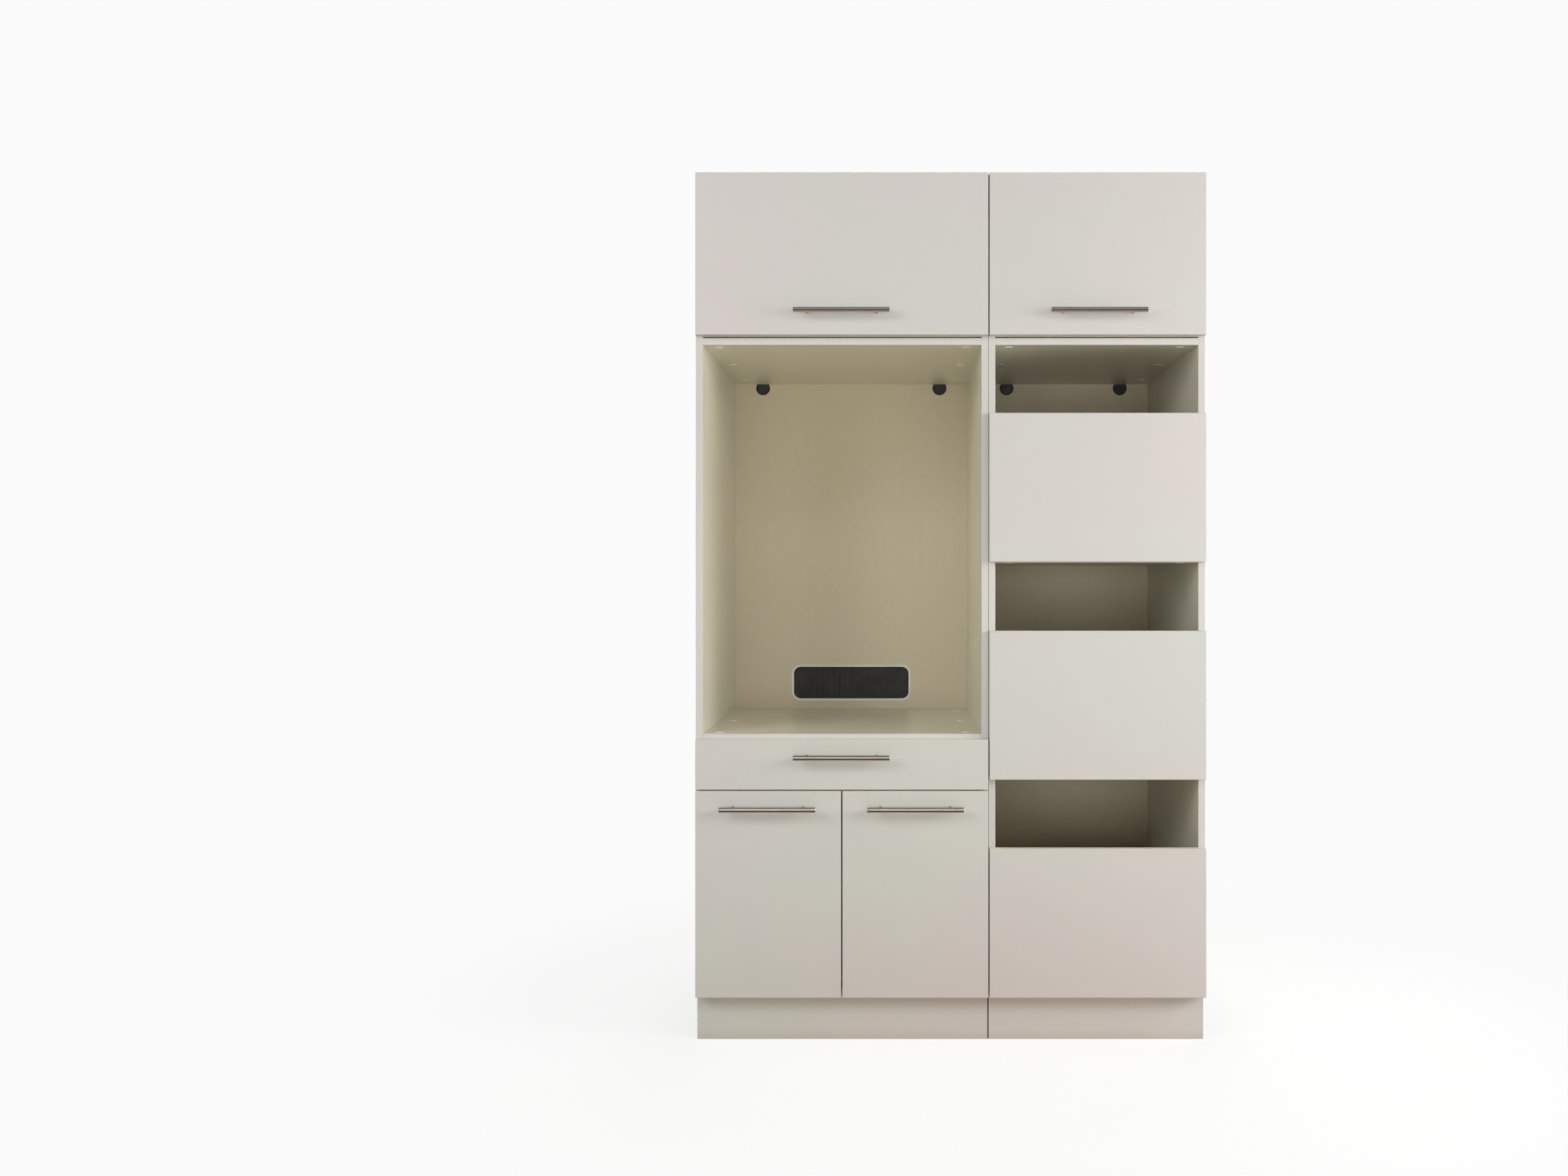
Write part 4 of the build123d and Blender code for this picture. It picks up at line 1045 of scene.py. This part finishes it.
# %% [markdown]
# The floor itself is one large flat sheet. Blender's plane would serve as well, and four corners
# make the same. It rides on no body, so it is no piece of the cabinet.

# %% The floor's sheet
FLOOR_REACH = 14.0
sheet = bmesh.new()
corners = [(-1, -1), (1, -1), (1, 1), (-1, 1)]
sheet.faces.new([sheet.verts.new((x * FLOOR_REACH, y * FLOOR_REACH, 0)) for x, y in corners])
floor_data = bpy.data.meshes.new("studio_floor")
sheet.to_mesh(floor_data)
sheet.free()
floor_data.materials.append(floor_material)
shown("studio_floor", floor_data)
print("floor, m across:", 2 * FLOOR_REACH)


# %% [markdown]
# A room is never quite dark in its corners. A weak, even light from all around stands for walls and
# a ceiling. A picture of a room could give it, but would put shapes of its own into the steel. To
# the camera, the world shows the backdrop's white instead.

# %% The room's own light
ROOM_LIGHT = 0.08

world = bpy.data.worlds.new("studio_room")
bpy.context.scene.world = world
world.use_nodes = True
room = world.node_tree
room.nodes.clear()
soft, white = room.nodes.new("ShaderNodeBackground"), room.nodes.new("ShaderNodeBackground")
soft.inputs["Color"].default_value = (1.0, 1.0, 1.0, 1)
soft.inputs["Strength"].default_value = ROOM_LIGHT
white.inputs["Color"].default_value = BACKDROP_WHITE
choice = room.nodes.new("ShaderNodeMixShader")
from_camera = room.nodes.new("ShaderNodeLightPath").outputs["Is Camera Ray"]
for source, socket in zip((from_camera, soft.outputs[0], white.outputs[0]), choice.inputs):
    room.links.new(source, socket)
room.links.new(choice.outputs[0], room.nodes.new("ShaderNodeOutputWorld").inputs["Surface"])
print("room light:", ROOM_LIGHT)


# %% [markdown]
# Soft boxes light the cabinet. One stands on the right at head height, one on the left, and a wide
# one far in front and low down reaches into the deep compartments. The fourth stands almost beside
# the cabinet, so it grazes the fronts, and the handles throw long faint shadows to the left. A
# narrow strip above the camera adds its reflection to the painted highlight along each bar. Two
# more, behind and above, light the sides that the front picture doesn't show. Small lamps would draw
# hard shadows under the handles.

# %% Soft boxes
CABINET_MIDDLE, CABINET_REAR, CABINET_TOP = (0.0, -0.3, 1.1), (0.0, 0.3, 1.0), (0.0, 0.1, 2.0)
PLAIN, WARM, WARMER = (1.0, 1.0, 1.0), (1.0, 0.99, 0.98), (1.0, 0.98, 0.96)


def soft_box(name, place, aim, width, height, watts, tone):
    lamp = bpy.data.lights.new(name, "AREA")
    lamp.shape = "RECTANGLE"
    lamp.size, lamp.size_y = width, height
    lamp.energy = watts
    lamp.color = tone
    holder = shown(name, lamp)
    holder.location = place
    facing = Vector(aim) - Vector(place)
    holder.rotation_euler = facing.to_track_quat("-Z", "Y").to_euler()
    print(name, watts, "W")


soft_box("key_box", (2.3, -2.4, 1.9), CABINET_MIDDLE, 1.4, 1.4, 26, WARM)
soft_box("fill_box", (-2.3, -2.2, 2.1), CABINET_MIDDLE, 1.6, 1.6, 37, PLAIN)
soft_box("front_box", (0.1, -5.0, 0.8), CABINET_MIDDLE, 3.4, 1.2, 42, WARMER)
soft_box("side_box", (3.0, -1.2, 1.5), CABINET_MIDDLE, 1.2, 1.2, 54, WARM)
soft_box("top_strip", (0.0, -2.5, 2.9), CABINET_MIDDLE, 3.0, 0.5, 7, PLAIN)
soft_box("rear_box", (0.0, 3.4, 2.0), CABINET_REAR, 1.0, 2.0, 45, PLAIN)
soft_box("roof_box", (0.3, 1.0, 3.9), CABINET_TOP, 1.6, 1.6, 22, PLAIN)


# %% [markdown]
# The camera stands three metres in front, at elbow height, and looks straight ahead. Tilted or
# turned, it would make the towers' edges lean. The cabinet isn't in the middle of the picture, so
# the lens is shifted instead, as on a view camera: the picture moves and the edges stay upright.
# The Standard view transform shows each colour as it was written.

# %% Camera
CAMERA_PLACE = (-0.124, -3.308, 1.064)
LENS, SENSOR = 30.04, 36.0
IMAGE_SIZE = (2212, 1659)
AXIS_PIXEL = (1265, 818)

eye = bpy.data.cameras.new("camera")
eye.lens, eye.sensor_width = LENS, SENSOR
eye.shift_x = (IMAGE_SIZE[0] / 2 - AXIS_PIXEL[0]) / IMAGE_SIZE[0]
eye.shift_y = (AXIS_PIXEL[1] - IMAGE_SIZE[1] / 2) / IMAGE_SIZE[0]
camera = shown("camera", eye)
camera.location = CAMERA_PLACE
camera.rotation_euler = (math.radians(90), 0, 0)
bpy.context.scene.camera = camera
bpy.context.scene.view_settings.view_transform = "Standard"
print("camera shift:", round(eye.shift_x, 4), round(eye.shift_y, 4))


# %% [markdown]
